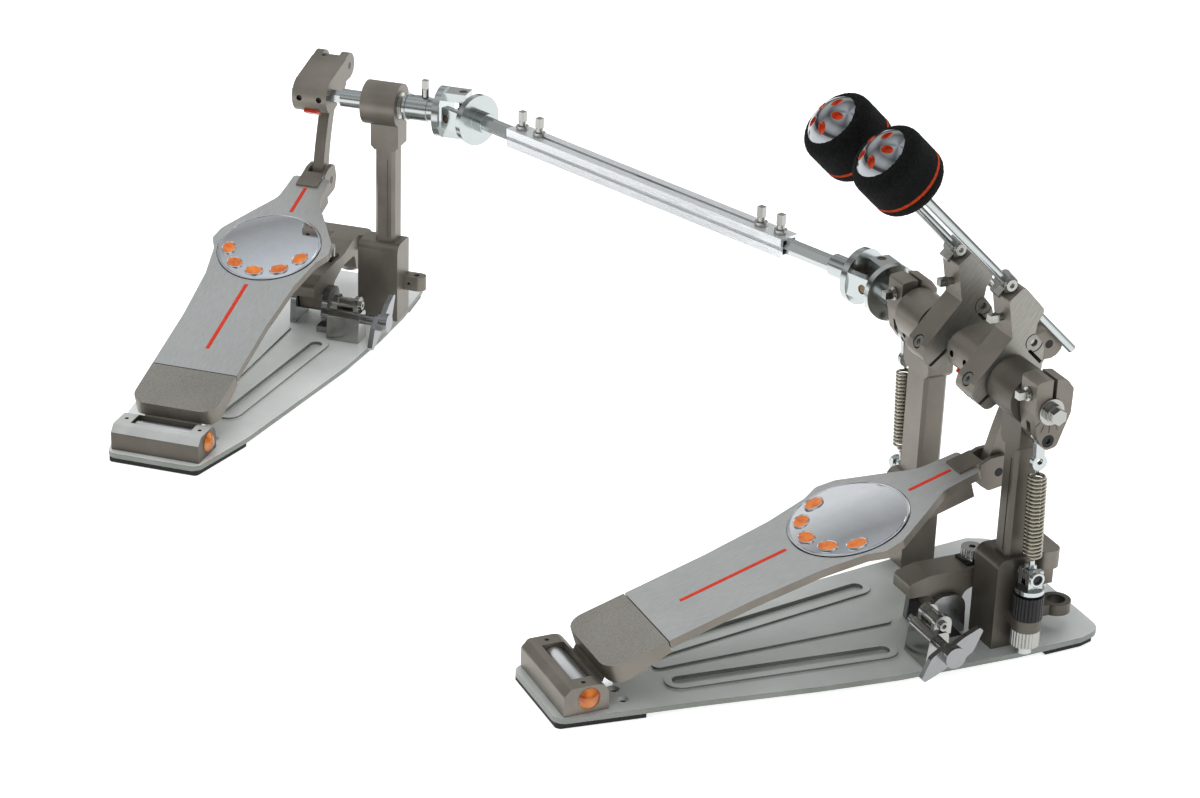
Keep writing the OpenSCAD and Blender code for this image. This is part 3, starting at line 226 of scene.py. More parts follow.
def ramp(material, source, low, high, dark, light):
    """A colour ramp from dark to light that follows source, a node and its output's name."""
    made = add(material, "ShaderNodeValToRGB", links={"Fac": source})
    for stop, at, shown in zip(made.color_ramp.elements, (low, high), (dark, light)):
        stop.position = at
        stop.color = shown
    return made


def grey(value):
    return (value, value, value, 1.0)


def noise(material, source, scale, detail, rough=0.5, distortion=0.0):
    return add(material, "ShaderNodeTexNoise",
               {"Scale": scale, "Detail": detail, "Roughness": rough, "Distortion": distortion},
               {"Vector": source})


def mix(material, coarse, share, fine):
    """The output of a share of one noise added to another."""
    made = add(material, "ShaderNodeMath", {"operation": "MULTIPLY_ADD", 1: share},
               {0: (coarse, "Fac"), 2: (fine, "Fac")})
    return made, "Value"


def tone(material, shader, source, low, high, shade, tint):
    """Base colour between two hex codes, following source from low to high."""
    made = ramp(material, source, low, high, colour(shade), colour(tint))
    wire(material, (made, "Color"), shader, "Base Color")


def gloss(material, shader, source, least, most, low=0.3, high=0.7):
    """Roughness between least and most, following source from low to high."""
    made = add(material, "ShaderNodeMapRange",
               {"From Min": low, "From Max": high, "To Min": least, "To Max": most},
               {"Value": source})
    wire(material, (made, "Result"), shader, "Roughness")


def grain(material, shader, source, strength, depth_mm=0.2):
    """Fine bumps that follow source."""
    made = add(material, "ShaderNodeBump", {"Strength": strength, "Distance": depth_mm * MM},
               {"Height": source})
    wire(material, (made, "Normal"), shader, "Normal")


def brushed_aluminium(name, tint, shade, turn, grain_mm=0.35, rough=0.36, length=26):
    """Anodised aluminium sheet brushed one way: fine long streaks catch the light in lines."""
    material, shader, place = blank(name)
    turned = add(material, "ShaderNodeMapping", {"vector_type": "TEXTURE"}, {"Vector": place})
    turned.inputs["Rotation"].default_value = turn
    fine = 1 / (grain_mm * MM)
    stretched = add(material, "ShaderNodeVectorMath",
                    {"operation": "MULTIPLY", 1: (fine, fine / length, fine)},
                    {0: (turned, "Vector")})
    streak = noise(material, (stretched, "Vector"), 1.0, 3.0, 0.65)
    cloud = noise(material, place, 16.0, 2.0)
    tone(material, shader, mix(material, cloud, 0.22, streak), 0.36, 0.86, shade, tint)
    gloss(material, shader, (streak, "Fac"), rough - 0.07, rough + 0.1)
    grain(material, shader, (streak, "Fac"), 0.12)
    fill(shader, {"Metallic": 0.75})
    return material


def blasted_aluminium(name, tint, shade, rough=0.42, metal=0.8, grit_mm=0.5, strength=0.15):
    """Bead-blasted and anodised casting or plate: an even silky grain without direction."""
    material, shader, place = blank(name)
    grit = noise(material, place, 1 / (grit_mm * MM), 2.0, 0.6)
    cloud = noise(material, place, 22.0, 3.0, 0.55)
    tone(material, shader, mix(material, grit, 0.35, cloud), 0.45, 0.9, shade, tint)
    gloss(material, shader, (cloud, "Fac"), rough - 0.05, rough + 0.08)
    grain(material, shader, (grit, "Fac"), strength)
    fill(shader, {"Metallic": metal})
    return material


def plated_steel(name, tint, rough=0.08, smear=0.05):
    """Bright plating: near mirror, with faint wiping marks in its gloss."""
    material, shader, place = blank(name)
    marks = noise(material, place, 90.0, 4.0, 0.7), "Fac"
    gloss(material, shader, marks, rough, rough + smear, 0.35)
    plain = colour(tint)
    bright = tuple(min(1.0, c * 1.08) for c in plain[:3]) + (1.0,)
    made = ramp(material, marks, 0.3, 0.75, plain, bright)
    wire(material, (made, "Color"), shader, "Base Color")
    fill(shader, {"Metallic": 1.0})
    return material


def moulded_plastic(name, tint, shade, rough=0.12, coat=0.6, pool_scale=140.0):
    """Tinted glossy resin under a clear coat: its colour varies in random pools between a darker
    and a lighter tone.
    """
    material, shader, place = blank(name)
    pool = noise(material, place, pool_scale, 2.0), "Fac"
    tone(material, shader, pool, 0.35, 0.65, shade, tint)
    fill(shader, {"Roughness": rough, "Coat Weight": coat, "Coat Roughness": 0.04})
    return material


def ground_rubber(name, tint, shade):
    """Moulded black rubber: dull, with a fine grainy skin."""
    material, shader, place = blank(name)
    skin = noise(material, place, 1400.0, 2.0), "Fac"
    tone(material, shader, skin, 0.3, 0.7, shade, tint)
    grain(material, shader, skin, 0.3)
    fill(shader, {"Roughness": 0.75})
    return material


def pressed_felt(name, tint, shade, fibre_mm=0.5):
    """Hard pressed wool felt: matted short fibres with a soft rim of light."""
    material, shader, place = blank(name)
    fibre = noise(material, place, 1 / (fibre_mm * MM), 5.0, 0.75, 1.4)
    clump = noise(material, place, 420.0, 5.0, 0.7)
    matted = mix(material, clump, 0.9, fibre)
    tone(material, shader, matted, 0.82, 1.25, shade, tint)
    grain(material, shader, matted, 0.8, 0.8)
    fill(shader, {"Roughness": 0.95, "Sheen Weight": 0.01, "Sheen Roughness": 0.5,
                  "Specular IOR Level": 0.2})
    return material


def enamel(name, tint, shade, rough=0.3):
    """Filled enamel line: even colour with a slight orange-peel gloss."""
    material, shader, place = blank(name)
    peel = noise(material, place, 500.0, 1.0), "Fac"
    tone(material, shader, peel, 0.3, 0.7, shade, tint)
    grain(material, shader, peel, 0.1)
    fill(shader, {"Roughness": rough, "Specular IOR Level": 0.2})
    return material


FINISH = {}


def make_finishes(colours):
    """Every finish of the pedal, under the name that the operators use for it."""
    tilt = math.radians(BOARD_TILT)
    FINISH["board_main"] = brushed_aluminium("Brushed_Anodised_Main", colours.board,
                                             colours.board_shade, (tilt, 0, 0))
    FINISH["board_slave"] = brushed_aluminium("Brushed_Anodised_Second", colours.board,
                                              colours.board_shade,
                                              (tilt, 0, math.radians(SECOND[2])))
    FINISH["heel_main"] = brushed_aluminium("Brushed_Heel_Main", colours.heel,
                                            colours.pewter_shade, (tilt, 0, math.pi / 2), 0.3,
                                            0.38, 14)
    FINISH["heel_slave"] = brushed_aluminium("Brushed_Heel_Second", colours.heel,
                                             colours.pewter_shade,
                                             (tilt, 0, math.radians(SECOND[2] + 90)), 0.3, 0.38, 14)
    FINISH["brushed_face"] = brushed_aluminium("Brushed_Holder_Face", "#a7a69f", "#807d76",
                                               (math.radians(55), 0, 0), 0.3, 0.34, 30)
    FINISH["mirror"] = plated_steel("Mirror_Disc", "#dde1e5", 0.03, 0.03)
    FINISH["dark_chrome"] = plated_steel("Dark_Nickel", "#8e8f90", 0.16, 0.12)
    FINISH["base"] = blasted_aluminium("Satin_Anodised_Plate", colours.base, colours.base_shade,
                                       0.45, 0.6, 0.4, 0.06)
    # A lighter copy of the base finish for the second base plate: painted light
    FINISH["base_second_painted_light"] = blasted_aluminium("Satin_Anodised_Second_Painted_Light", "#f6f8f6", "#e6e9e6", 0.45,
                                              0.45, 0.4, 0.06)
    FINISH["barrel"] = plated_steel("Satin_Barrel", "#eceef0", 0.28, 0.1)
    # A lighter finish for the upward faces of the second heel block: painted light
    FINISH["top_painted_light"] = blasted_aluminium("Top_Painted_Light", "#d6d7d5", "#b6b6b2", 0.38, 0.5)
    # A darker finish for the base plates' side faces: painted shade
    FINISH["base_side_painted_shade"] = blasted_aluminium("Plate_Side_Painted_Shade", "#8d908b", "#747770", 0.4, 0.6)
    FINISH["pewter"] = blasted_aluminium("Blasted_Pewter_Casting", colours.pewter,
                                         colours.pewter_shade, 0.4, 0.65)
    # A darker copy of the casting finish for the right post and the second heel block's sides:
    # painted shade
    FINISH["pewter_painted_shade"] = blasted_aluminium("Blasted_Pewter_Painted_Shade", "#68635a", "#524e47", 0.4,
                                              0.65)
    FINISH["dome"] = plated_steel("Polished_Dome", "#999c9f", 0.07, 0.05)
    FINISH["yoke"] = plated_steel("Satin_Chrome_Joint", "#b3b8b7", 0.14, 0.1)
    FINISH["chrome"] = plated_steel("Chrome_Plate", "#dfe2e4", 0.05)
    FINISH["steel"] = plated_steel("Nickel_Plate", "#b5b1a6", 0.18, 0.1)
    FINISH["spring"] = plated_steel("Nickel_Spring_Wire", "#a09b8d", 0.18, 0.1)
    FINISH["bolt"] = plated_steel("Bright_Zinc_Plate", "#a3a39f", 0.16, 0.12)
    FINISH["channel"] = brushed_aluminium("Bright_Extrusion", "#f2f4f5", "#d8dbdd",
                                          (0, 0, math.radians(SHAFT_TURN - 90)), 0.3, 0.26, 60)
    FINISH["rubber"] = ground_rubber("Moulded_Rubber", "#1d1d1d", "#0f0f0f")
    FINISH["black"] = blasted_aluminium("Black_Oxide_Steel", "#2c2c2d", "#1a1a1b", 0.35, 0.6)
    FINISH["orange"] = moulded_plastic("Orange_Resin", colours.orange, colours.orange_shade)
    FINISH["amber"] = moulded_plastic("Amber_Resin", "#ee8f2a", "#a33f08", 0.1, 0.4, 75.0)
    FINISH["red"] = enamel("Red_Enamel", colours.red, "#b82a12")
    FINISH["dome_lining"] = moulded_plastic("Red_Resin", "#c5481f", "#a83414", 0.25, 0.3)
    FINISH["felt"] = pressed_felt("Black_Felt", "#101210", "#010101")
    FINISH["felt_stripe"] = pressed_felt("Orange_Felt", "#d24a1e", "#a8351a", 0.6)
    FINISH["bronze"] = blasted_aluminium("Oiled_Bronze", "#7d6a55", "#4d4033", 0.35, 0.9)


# Mesh helpers

def only(obj):
    """Makes obj the one selected and active object."""
    if bpy.context.mode != "OBJECT":
        bpy.ops.object.mode_set(mode="OBJECT")
    bpy.ops.object.select_all(action="DESELECT")
    obj.hide_viewport = False
    obj.select_set(True)
    bpy.context.view_layer.objects.active = obj


def settle(obj, matrix=None):
    """Puts the object's place into its mesh and leaves the object at the origin."""
    only(obj)
    if matrix is not None:
        obj.matrix_world = matrix @ obj.matrix_world
        bpy.context.view_layer.update()
    bpy.ops.object.transform_apply(location=True, rotation=True, scale=True)


def cylinder(sides, radius, depth, z=0.0, **more):
    """A new cylinder along Z with its middle at z, in millimetres."""
    bpy.ops.object.select_all(action="DESELECT")
    bpy.ops.mesh.primitive_cylinder_add(vertices=sides, radius=radius * MM, depth=depth * MM,
                                        location=(0, 0, z * MM), **more)
    return bpy.context.object


def twin(obj, name):
    """A new object with its own copy of obj's mesh."""
    made = bpy.data.objects.new(name, obj.data.copy())
    bpy.context.scene.collection.objects.link(made)
    return made


def coat(obj, *keys):
    """Adds the named finishes to the mesh's slots."""
    for key in keys:
        obj.data.materials.append(FINISH[key])


def ease_edges(obj, width, segments):
    """Rounds the edges that turn by more than 40 degrees, width in millimetres."""
    bevel = obj.modifiers.new("Eased edges", "BEVEL")
    bevel.width = width * MM
    bevel.segments = segments
    bevel.limit_method = "ANGLE"
    bevel.angle_limit = math.radians(40)
    bpy.ops.object.modifier_apply(modifier=bevel.name)


def finish_piece(obj, name, body, nodes=(), materials=(), smooth=35):
    """Names a finished piece, smooths it, gives it its body and finishes, and hides the CAD nodes
    that it replaces.
    """
    obj.name = name
    obj.data.name = name
    coat(obj, *materials)
    only(obj)
    bpy.ops.object.shade_smooth_by_angle(angle=math.radians(smooth))
    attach(obj, body)
    if nodes:
        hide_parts(*nodes)


def weigh_normals(obj):
    """Flat faces keep their own normals and the eased edges blend between them."""
    weigh = obj.modifiers.new("Weighted", "WEIGHTED_NORMAL")
    weigh.keep_sharp = True
    weigh.weight = 100
    bpy.ops.object.modifier_apply(modifier=weigh.name)


def eased(node, finishes, width, rule=None, segments=2):
    """A copy of a CAD node with its seams merged, its edges eased and its finish on.

    rule(points, normal) gives the finish's index for a face from its corners and normal, in
    metres and the world frame.
    """
    obj = twin(NODES[node], node + "_piece")
    only(obj)
    obj.data.materials.clear()
    bpy.ops.object.mode_set(mode="EDIT")
    bpy.ops.mesh.select_all(action="SELECT")
    bpy.ops.mesh.remove_doubles(threshold=0.000002)
    bpy.ops.mesh.dissolve_limited(angle_limit=math.radians(0.4), delimit={"NORMAL"})
    bpy.ops.mesh.select_all(action="DESELECT")
    bpy.ops.object.mode_set(mode="OBJECT")
    coat(obj, *finishes)
    if rule:
        for face in obj.data.polygons:
            corners = [obj.data.vertices[i].co for i in face.vertices]
            face.material_index = rule(corners, face.normal)
    if width:
        ease_edges(obj, width, segments)
    bpy.ops.object.shade_smooth_by_angle(angle=math.radians(38))
    weigh_normals(obj)
    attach(obj, BODY_OF[node])
    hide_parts(node)
    return obj


# User sizes and colours

def tint_field(name, text, default):
    return bpy.props.StringProperty(name=name, description=text, default=default)


def size_field(name, text, default, least, most):
    return bpy.props.FloatProperty(name=name, description=text, default=default, min=least,
                                   max=most)


class PedalColours(bpy.types.PropertyGroup):
    board: tint_field("Board", "Light tone of the brushed boards", "#cbcdcb")
    board_shade: tint_field("Board shade", "Dark tone of the brushed boards", "#a9aba8")
    base: tint_field("Base", "Light tone of the base plates", "#dee1de")
    base_shade: tint_field("Base shade", "Dark tone of the base plates", "#cacecb")
    heel: tint_field("Heel section", "Light tone of the boards' heel sections", "#b6b4ac")
    pewter: tint_field("Castings", "Light tone of the castings", "#8c867c")
    pewter_shade: tint_field("Castings shade", "Dark tone of the castings", "#6e6860")
    orange: tint_field("Orange", "Oval inserts of the discs", "#e07a1c")
    orange_shade: tint_field("Orange shade", "Dark tone of the oval inserts", "#bd5608")
    red: tint_field("Red", "Stripes on the boards and bumpers of the cams", "#d23418")


class PedalSizes(bpy.types.PropertyGroup):
    edge: size_field("Eased edge", "Width of the eased edges", 0.4, 0.0, 1.0)
    wire: size_field("Spring wire", "Radius of the spring wire", 1.05, 0.5, 1.2)
    turns: bpy.props.IntProperty(name="Spring turns", description="Turns of each spring",
                                 default=21, min=5, max=30)
    felt_radius: size_field("Felt radius", "Radius of the felt heads", 26.1, 20, 30)
    felt_length: size_field("Felt length", "Length of the felt heads", 39.8, 30, 50)
    dome_radius: size_field("Dome radius", "Radius of the chrome domes", 19.2, 12, 24)


# Operators

PLAIN = {
    "rubber_pads": "rubber",
    "main_heel_block": "pewter",
    # The right post takes the darker copy of the casting finish: painted shade
    "right_post": "pewter_painted_shade", "left_post": "pewter", "slave_post": "pewter",
    "post_bearings": "steel", "tension_rods": "yoke",
    "main_clamp_lever": "pewter", "slave_clamp_lever": "pewter",
    "main_wing_bolt": "dark_chrome", "slave_wing_bolt": "dark_chrome",
    "main_link": "pewter", "slave_link": "pewter",
    "main_axle": "bolt", "left_axle": "yoke", "slave_axle": "yoke",
    "right_rocker": "pewter", "left_rocker": "pewter",
    "slave_fasteners": "bolt",
    "shaft_channel": "channel", "shaft_rods": "yoke", "shaft_fasteners": "bolt",
    "right_swivel": "yoke", "left_swivel": "yoke",
    "right_spring_eye": "yoke", "left_spring_eye": "yoke",
    "main_cross": "bronze", "slave_cross": "bronze",
    "hinge_pins": "chrome", "right_beater_rod": "yoke", "left_beater_rod": "yoke",
}


def local(place, points):
    """The middle of world points in a pedal's or board's own frame, in millimetres."""
    return (place.inverted() @ (sum(points, Vector()) / len(points))) / MM


def reach(place, points, y, z):
    """How far the points lie from a line along X through y and z, in millimetres."""
    own = [(place.inverted() @ p) / MM for p in points]
    return max(math.hypot(p.y - y, p.z - z) for p in own)


class PEDAL_OT_machined_metal(bpy.types.Operator):
    """Castings, axles and bolts with eased edges and their metal finishes"""
    bl_idname = "pedal.machined_metal"
    bl_label = "Machined metal"

    def execute(self, context):
        edge = context.scene.pedal_sizes.edge
        for node, key in PLAIN.items():
            eased(node, [key], edge)
        for side in ("right", "left"):
            # The holders' broad faces are brushed lighter than their edges
            eased(side + "_holder", ["pewter", "brushed_face"], edge,
                  lambda points, normal: 1 if abs(normal.x) > 0.95 else 0)
            # The swivels' pins are black socket screws
            eased(side + "_fasteners", ["bolt", "black"], 0.2,
                  lambda points, normal: int(reach(MAIN, points, 0, AXLE_H - PIVOT_DROP)
                                             < SWIVEL_PIN_R))
        eased("tension_nuts", ["black", "bolt"], 0.2,
              lambda points, normal: 0 if local(MAIN, points).z > LOCK_NUT_LOW else 1)
        for side, place in (("main", MAIN), ("slave", SLAVE)):
            # The base plates' side faces take a darker finish than their satin tops: painted shade
            # The second base plate takes the lighter copy of the base finish: painted light
            top = "base" if side == "main" else "base_second_painted_light"
            eased(side + "_base", [top, "base_side_painted_shade"], 0.8,
                  lambda points, normal: 1 if abs(normal.z) < 0.5 else 0, segments=3)

            def cam(points, normal, place=place):
                p = local(place, points)
                up = p.z - AXLE_H
                out = math.hypot(p.y, up)
                if reach(place, points, *CAM_PIN) < CAM_PIN_R:
                    return 2
                # The bumper stands off the round of the hub
                if up < -BUMPER_DROP and abs(p.y) < BUMPER_HALF and out > CAM_HUB_R:
                    return 3
                # The set screws sit in the hub's heel side
                screw = up > -SET_SCREW_DROP and p.y < -SET_SCREW_BACK and out < SET_SCREW_R
                return 2 if screw else 0
            eased(side + "_cam", ["pewter", "steel", "black", "red"], edge, cam)

            def clevis(points, normal, place=place):
                return 1 if reach(place, points, *CLEVIS_PIN) < CLEVIS_PIN_R else 0
            eased(side + "_clevis", ["pewter", "black"], edge, clevis)

            def jaw(points, normal, place=place):
                p = local(place, points)
                return 1 if p.y < JAW_FRONT and WASHER[0] < p.z < WASHER[1] else 0
            eased(side + "_jaw_bolt", ["bolt", "black"], 0.2, jaw)
        eased("clamp_bases", ["dark_chrome", "bolt"], edge, clamp_rule)
        # The second heel block's upper faces take a lighter finish and its sides a darker one:
        # painted light and painted shade
        eased("slave_heel_block", ["pewter_painted_shade", "top_painted_light"], edge,
              lambda points, normal: 1 if normal.z > 0.3 else 0)
        return {"FINISHED"}


def clamp_rule(points, normal):
    """Domed cheeks are dark, the wing bolt's block is bright."""
    for place in (MAIN, SLAVE):
        p = local(place, points)
        if abs(p.x) < CLAMP_REACH and -CLAMP_REACH < p.y < 0:
            return 1 if p.x > WING_BLOCK_X else 0
    return 1


def step_in(steps):
    """Insets the selected faces step by step, each (width, rise) in millimetres."""
    for width, rise in steps:
        bpy.ops.mesh.inset(thickness=width * MM, depth=rise * MM)


def facing_up(middle, normal):
    return normal.z > 0.9


def select_faces(obj, test=facing_up):
    """In edit mode, selects the faces whose middle and normal pass the test."""
    mesh = bmesh.from_edit_mesh(obj.data)
    for face in mesh.faces:
        face.select = test(face.calc_center_median(), face.normal)
    mesh.select_flush(True)
    bmesh.update_edit_mesh(obj.data)


def red_lines(side, place):
    """The red lines are the CAD disc's own narrow inlays, without its round plate."""
    obj = eased(side + "_disc", ["red"], 0.1)
    inner = (place @ ON_BOARD).inverted()
    bpy.ops.object.mode_set(mode="EDIT")
    bpy.ops.mesh.select_all(action="DESELECT")
    mesh = bmesh.from_edit_mesh(obj.data)
    for vert in mesh.verts:
        p = inner @ vert.co / MM
        vert.select = abs(p.x) < BARE_HALF[0] and abs(p.y - DISC_AT) < BARE_HALF[1]
    mesh.select_flush(True)
    bmesh.update_edit_mesh(obj.data)
    bpy.ops.mesh.delete(type="VERT")
    bpy.ops.object.mode_set(mode="OBJECT")


def mirror_disc(side, place):
    """A slightly domed mirror plate with a raised rim, and its five oval inserts."""
    centre = place @ ON_BOARD @ Matrix.Translation((0, DISC_AT * MM, 0))
    obj = cylinder(128, DISC_R, DISC_THICK, DISC_Z)
    bpy.ops.object.mode_set(mode="EDIT")
    select_faces(obj)
    # The rim and the groove, then the crown in steps
    rings = [(0.2, 0.2), (0.25, 0.1), (0.2, 0.0), (0.2, -0.1), (0.2, -0.35), (0.45, 0.0),
             (0.25, 0.3)]
    radius = CROWN_R
    while radius > 4:
        inner = radius - CROWN_STEP
        rings.append((CROWN_STEP, CROWN_H * (radius ** 2 - inner ** 2) / CROWN_R ** 2))
        radius = inner
    step_in(rings)
    bpy.ops.object.mode_set(mode="OBJECT")
    settle(obj, centre)
    disc = side + "_disc"
    finish_piece(obj, disc + "_plate", BODY_OF[disc], (), ["mirror"], 30)

    # One insert: a chrome oval rim round a domed orange pad
    pad = cylinder(64, PAD_R, PAD_THICK, PAD_Z)
    bpy.ops.object.mode_set(mode="EDIT")
    select_faces(pad)
    step_in([(0.25, 0.2), (0.4, 0.05), (0.3, -0.2), (0.1, -0.25)])
    select_faces(pad, lambda middle, normal: facing_up(middle, normal)
                 and middle.xy.length < 3 * MM)
    step_in([(0.2, 0.35), (0.5, 0.35), (0.8, 0.3), (1.2, 0.2), (1.6, 0.1)])
    mesh = bmesh.from_edit_mesh(pad.data)
    for face in mesh.faces:
        out = max(v.co.xy.length for v in face.verts)
        face.material_index = 1 if out < PAD_ORANGE_R * MM else 0
    bmesh.update_edit_mesh(pad.data)
    bpy.ops.mesh.select_all(action="SELECT")
    bpy.ops.transform.resize(value=(1, PAD_WIDTH, 1))
    bpy.ops.object.mode_set(mode="OBJECT")
    coat(pad, "chrome", "orange")
    pads = [pad] + [twin(pad, "pad") for k in range(PADS - 1)]
    for k, one in enumerate(pads):
        angle = math.radians(PAD_FIRST + PAD_STEP * k)
        at = Vector((PAD_RING * math.cos(angle), PAD_RING * math.sin(angle), PAD_UP)) * MM
        settle(one, centre @ Matrix.Translation(at) @ Matrix.Rotation(angle + math.pi / 2, 4, "Z"))
    only(pad)
    for one in pads:
        one.select_set(True)
    bpy.ops.object.join()
    finish_piece(pad, disc + "_pads", BODY_OF[disc], smooth=40)


def barrel_sleeve(side, place):
    """A bright sleeve round the heel plate's barrel, filling the heel block's window."""
    obj = cylinder(96, SLEEVE_R, 2 * SLEEVE_HALF, end_fill_type="NOTHING",
                   rotation=(0, math.pi / 2, 0))
    wall = obj.modifiers.new("Wall", "SOLIDIFY")
    wall.thickness = SLEEVE_WALL * MM
    wall.offset = -1
    bpy.ops.object.modifier_apply(modifier=wall.name)
    settle(obj, place @ Matrix.Translation((0, HINGE[0] * MM, HINGE[1] * MM)))
    ease_edges(obj, 0.5, 3)
    finish_piece(obj, side + "_barrel_sleeve", BODY_OF[side + "_heel_plate"],
                 (), ["barrel"], 30)


class PEDAL_OT_footboards(bpy.types.Operator):
    """Brushed boards, heel sections with their chrome barrels, discs with inserts and red lines"""
    bl_idname = "pedal.footboards"
    bl_label = "Footboards"

    def execute(self, context):
        edge = context.scene.pedal_sizes.edge
        for side, place in (("main", MAIN), ("slave", SLAVE)):
            eased(side + "_board", ["board_" + side, "pewter"], 0.7,
                  lambda points, normal: 0 if normal.z > 0.9 else 1, segments=3)
            red_lines(side, place)
            mirror_disc(side, place)

            def barrel(points, normal, place=place):
                p = local(place, points)
                near = math.hypot(p.y - HINGE[0], p.z - HINGE[1]) < BARREL_R
                if near and abs(p.x) < BARREL_HALF:
                    return 2
                return 0 if normal.z > 0.9 else 1
            eased(side + "_heel_plate", ["heel_" + side, "pewter", "barrel"], 0.9, barrel,
                  segments=3)
            barrel_sleeve(side, place)
        return {"FINISHED"}


class PEDAL_OT_hinge_caps(bpy.types.Operator):
    """Domed orange caps on the ends of the heel hinges"""
    bl_idname = "pedal.hinge_caps"
    bl_label = "Hinge caps"

    def execute(self, context):
        eased("hinge_caps", ["amber"], 0.5, segments=3)
        return {"FINISHED"}


class PEDAL_OT_felt_heads(bpy.types.Operator):
    """Felt beater heads with an orange stripe near the shaft side"""
    bl_idname = "pedal.felt_heads"
    bl_label = "Felt heads"

    def execute(self, context):
        sizes = context.scene.pedal_sizes
        low, high = ((at - sizes.felt_length / 2) * MM for at in STRIPE)
        for side, x in (("right", RIGHT_BEATER_X), ("left", LEFT_BEATER_X)):
            obj = cylinder(128, sizes.felt_radius, sizes.felt_length)
            bpy.ops.object.mode_set(mode="EDIT")
            bpy.ops.mesh.select_all(action="DESELECT")
            mesh = bmesh.from_edit_mesh(obj.data)
            # Only the rims of the two round ends belong to a face of many corners
            for edge in mesh.edges:
                edge.select = any(len(f.verts) > 10 for f in edge.link_faces)
            bmesh.update_edit_mesh(obj.data)
            bpy.ops.mesh.bevel(offset=FELT_ROUND * MM, segments=10, profile=0.5)
            for height in (high, low):
                bpy.ops.mesh.select_all(action="SELECT")
                bpy.ops.mesh.bisect(plane_co=(0, 0, height), plane_no=(0, 0, 1))
            mesh = bmesh.from_edit_mesh(obj.data)
            for face in mesh.faces:
                face.material_index = 1 if low < face.calc_center_median().z < high else 0
                face.select = False
            bmesh.update_edit_mesh(obj.data)
            bpy.ops.object.mode_set(mode="OBJECT")
            dense = obj.modifiers.new("Dense", "SUBSURF")
            dense.subdivision_type = "SIMPLE"
            dense.levels = dense.render_levels = 2
            bpy.ops.object.modifier_apply(modifier=dense.name)
            fuzz = bpy.data.textures.new("Felt_Fuzz", "CLOUDS")
            fuzz.noise_scale = FUZZ_GRAIN * MM
            fuzz.noise_depth = 2
            push = obj.modifiers.new("Fuzz", "DISPLACE")
            push.texture = fuzz
            push.strength = FUZZ_DEPTH * MM
            push.mid_level = 0.75
            bpy.ops.object.modifier_apply(modifier=push.name)
            settle(obj, on_rod(x) @ Matrix.Translation((0, 0, HEAD_AT * MM)))
            finish_piece(obj, side + "_felt_piece", side + "_beater",
                         [side + "_felt"], ["felt", "felt_stripe"], smooth=60)
        return {"FINISHED"}


def cut_ovals(obj):
    """Sinks five oval pockets into the dome round its middle, with red floors and walls."""
    turns = [math.radians(360 / OVALS * k + 90) for k in range(OVALS)]
    ovals = []
    for turn in turns:
        one = cylinder(48, 1, 20, 13.8)
        one.scale = (OVAL[0], OVAL[1], 1)
        settle(one)
        settle(one, Matrix.Rotation(turn, 4, "Z") @ Matrix.Translation((OVAL_RING * MM, 0, 0)))
        ovals.append(one)
    only(ovals[0])
    for one in ovals:
        one.select_set(True)
    bpy.ops.object.join()
    cutter = bpy.context.object
    only(obj)
    cut = obj.modifiers.new("Ovals", "BOOLEAN")
    cut.operation = "DIFFERENCE"
    cut.solver = "EXACT"
    cut.object = cutter
    bpy.ops.object.modifier_apply(modifier=cut.name)
    bpy.data.objects.remove(cutter)

    def inside(co):
        """Whether a point lies in a pocket or on its wall."""
        for turn in turns:
            q = Matrix.Rotation(-turn, 2) @ co.xy / MM
            if ((q.x - OVAL_RING) / OVAL[0]) ** 2 + (q.y / OVAL[1]) ** 2 < 1.02:
                return True
        return False
    for face in obj.data.polygons:
        sunk = all(inside(obj.data.vertices[i].co) for i in face.vertices)
        face.material_index = 1 if sunk else 0


class PEDAL_OT_beater_domes(bpy.types.Operator):
    """Chrome domes on the beater heads with five oval pockets, red inside"""
    bl_idname = "pedal.beater_domes"
    bl_label = "Beater domes"

    def execute(self, context):
        radius = context.scene.pedal_sizes.dome_radius
        ball = (radius ** 2 + DOME_H ** 2) / (2 * DOME_H)

        def height(r):
            return math.sqrt(ball ** 2 - r ** 2) - ball + DOME_H
        obj = cylinder(128, radius, 0.6, -0.3)
        bpy.ops.object.mode_set(mode="EDIT")
        select_faces(obj)
        # Rings close together at the rim, and further apart over the top
        at = [radius - 0.25 * k for k in range(4)]
        at += [radius - 1.5 - k for k in range(int(radius) - 2)]
        step_in([(a - b, height(b) - height(a)) for a, b in zip(at, at[1:])])
        bpy.ops.object.mode_set(mode="OBJECT")
        coat(obj, "dome", "dome_lining")
        cut_ovals(obj)
        only(obj)
        ease_edges(obj, 0.35, 2)
        other = twin(obj, "dome")
        top = Matrix.Translation((0, 0, (HEAD_AT + HEAD_TOP - DOME_SINK) * MM))
        for one, side, x in ((obj, "right", RIGHT_BEATER_X), (other, "left", LEFT_BEATER_X)):
            node = side + "_dome"
            settle(one, on_rod(x) @ top)
            finish_piece(one, node + "_piece", side + "_beater", [node], smooth=30)
        return {"FINISHED"}


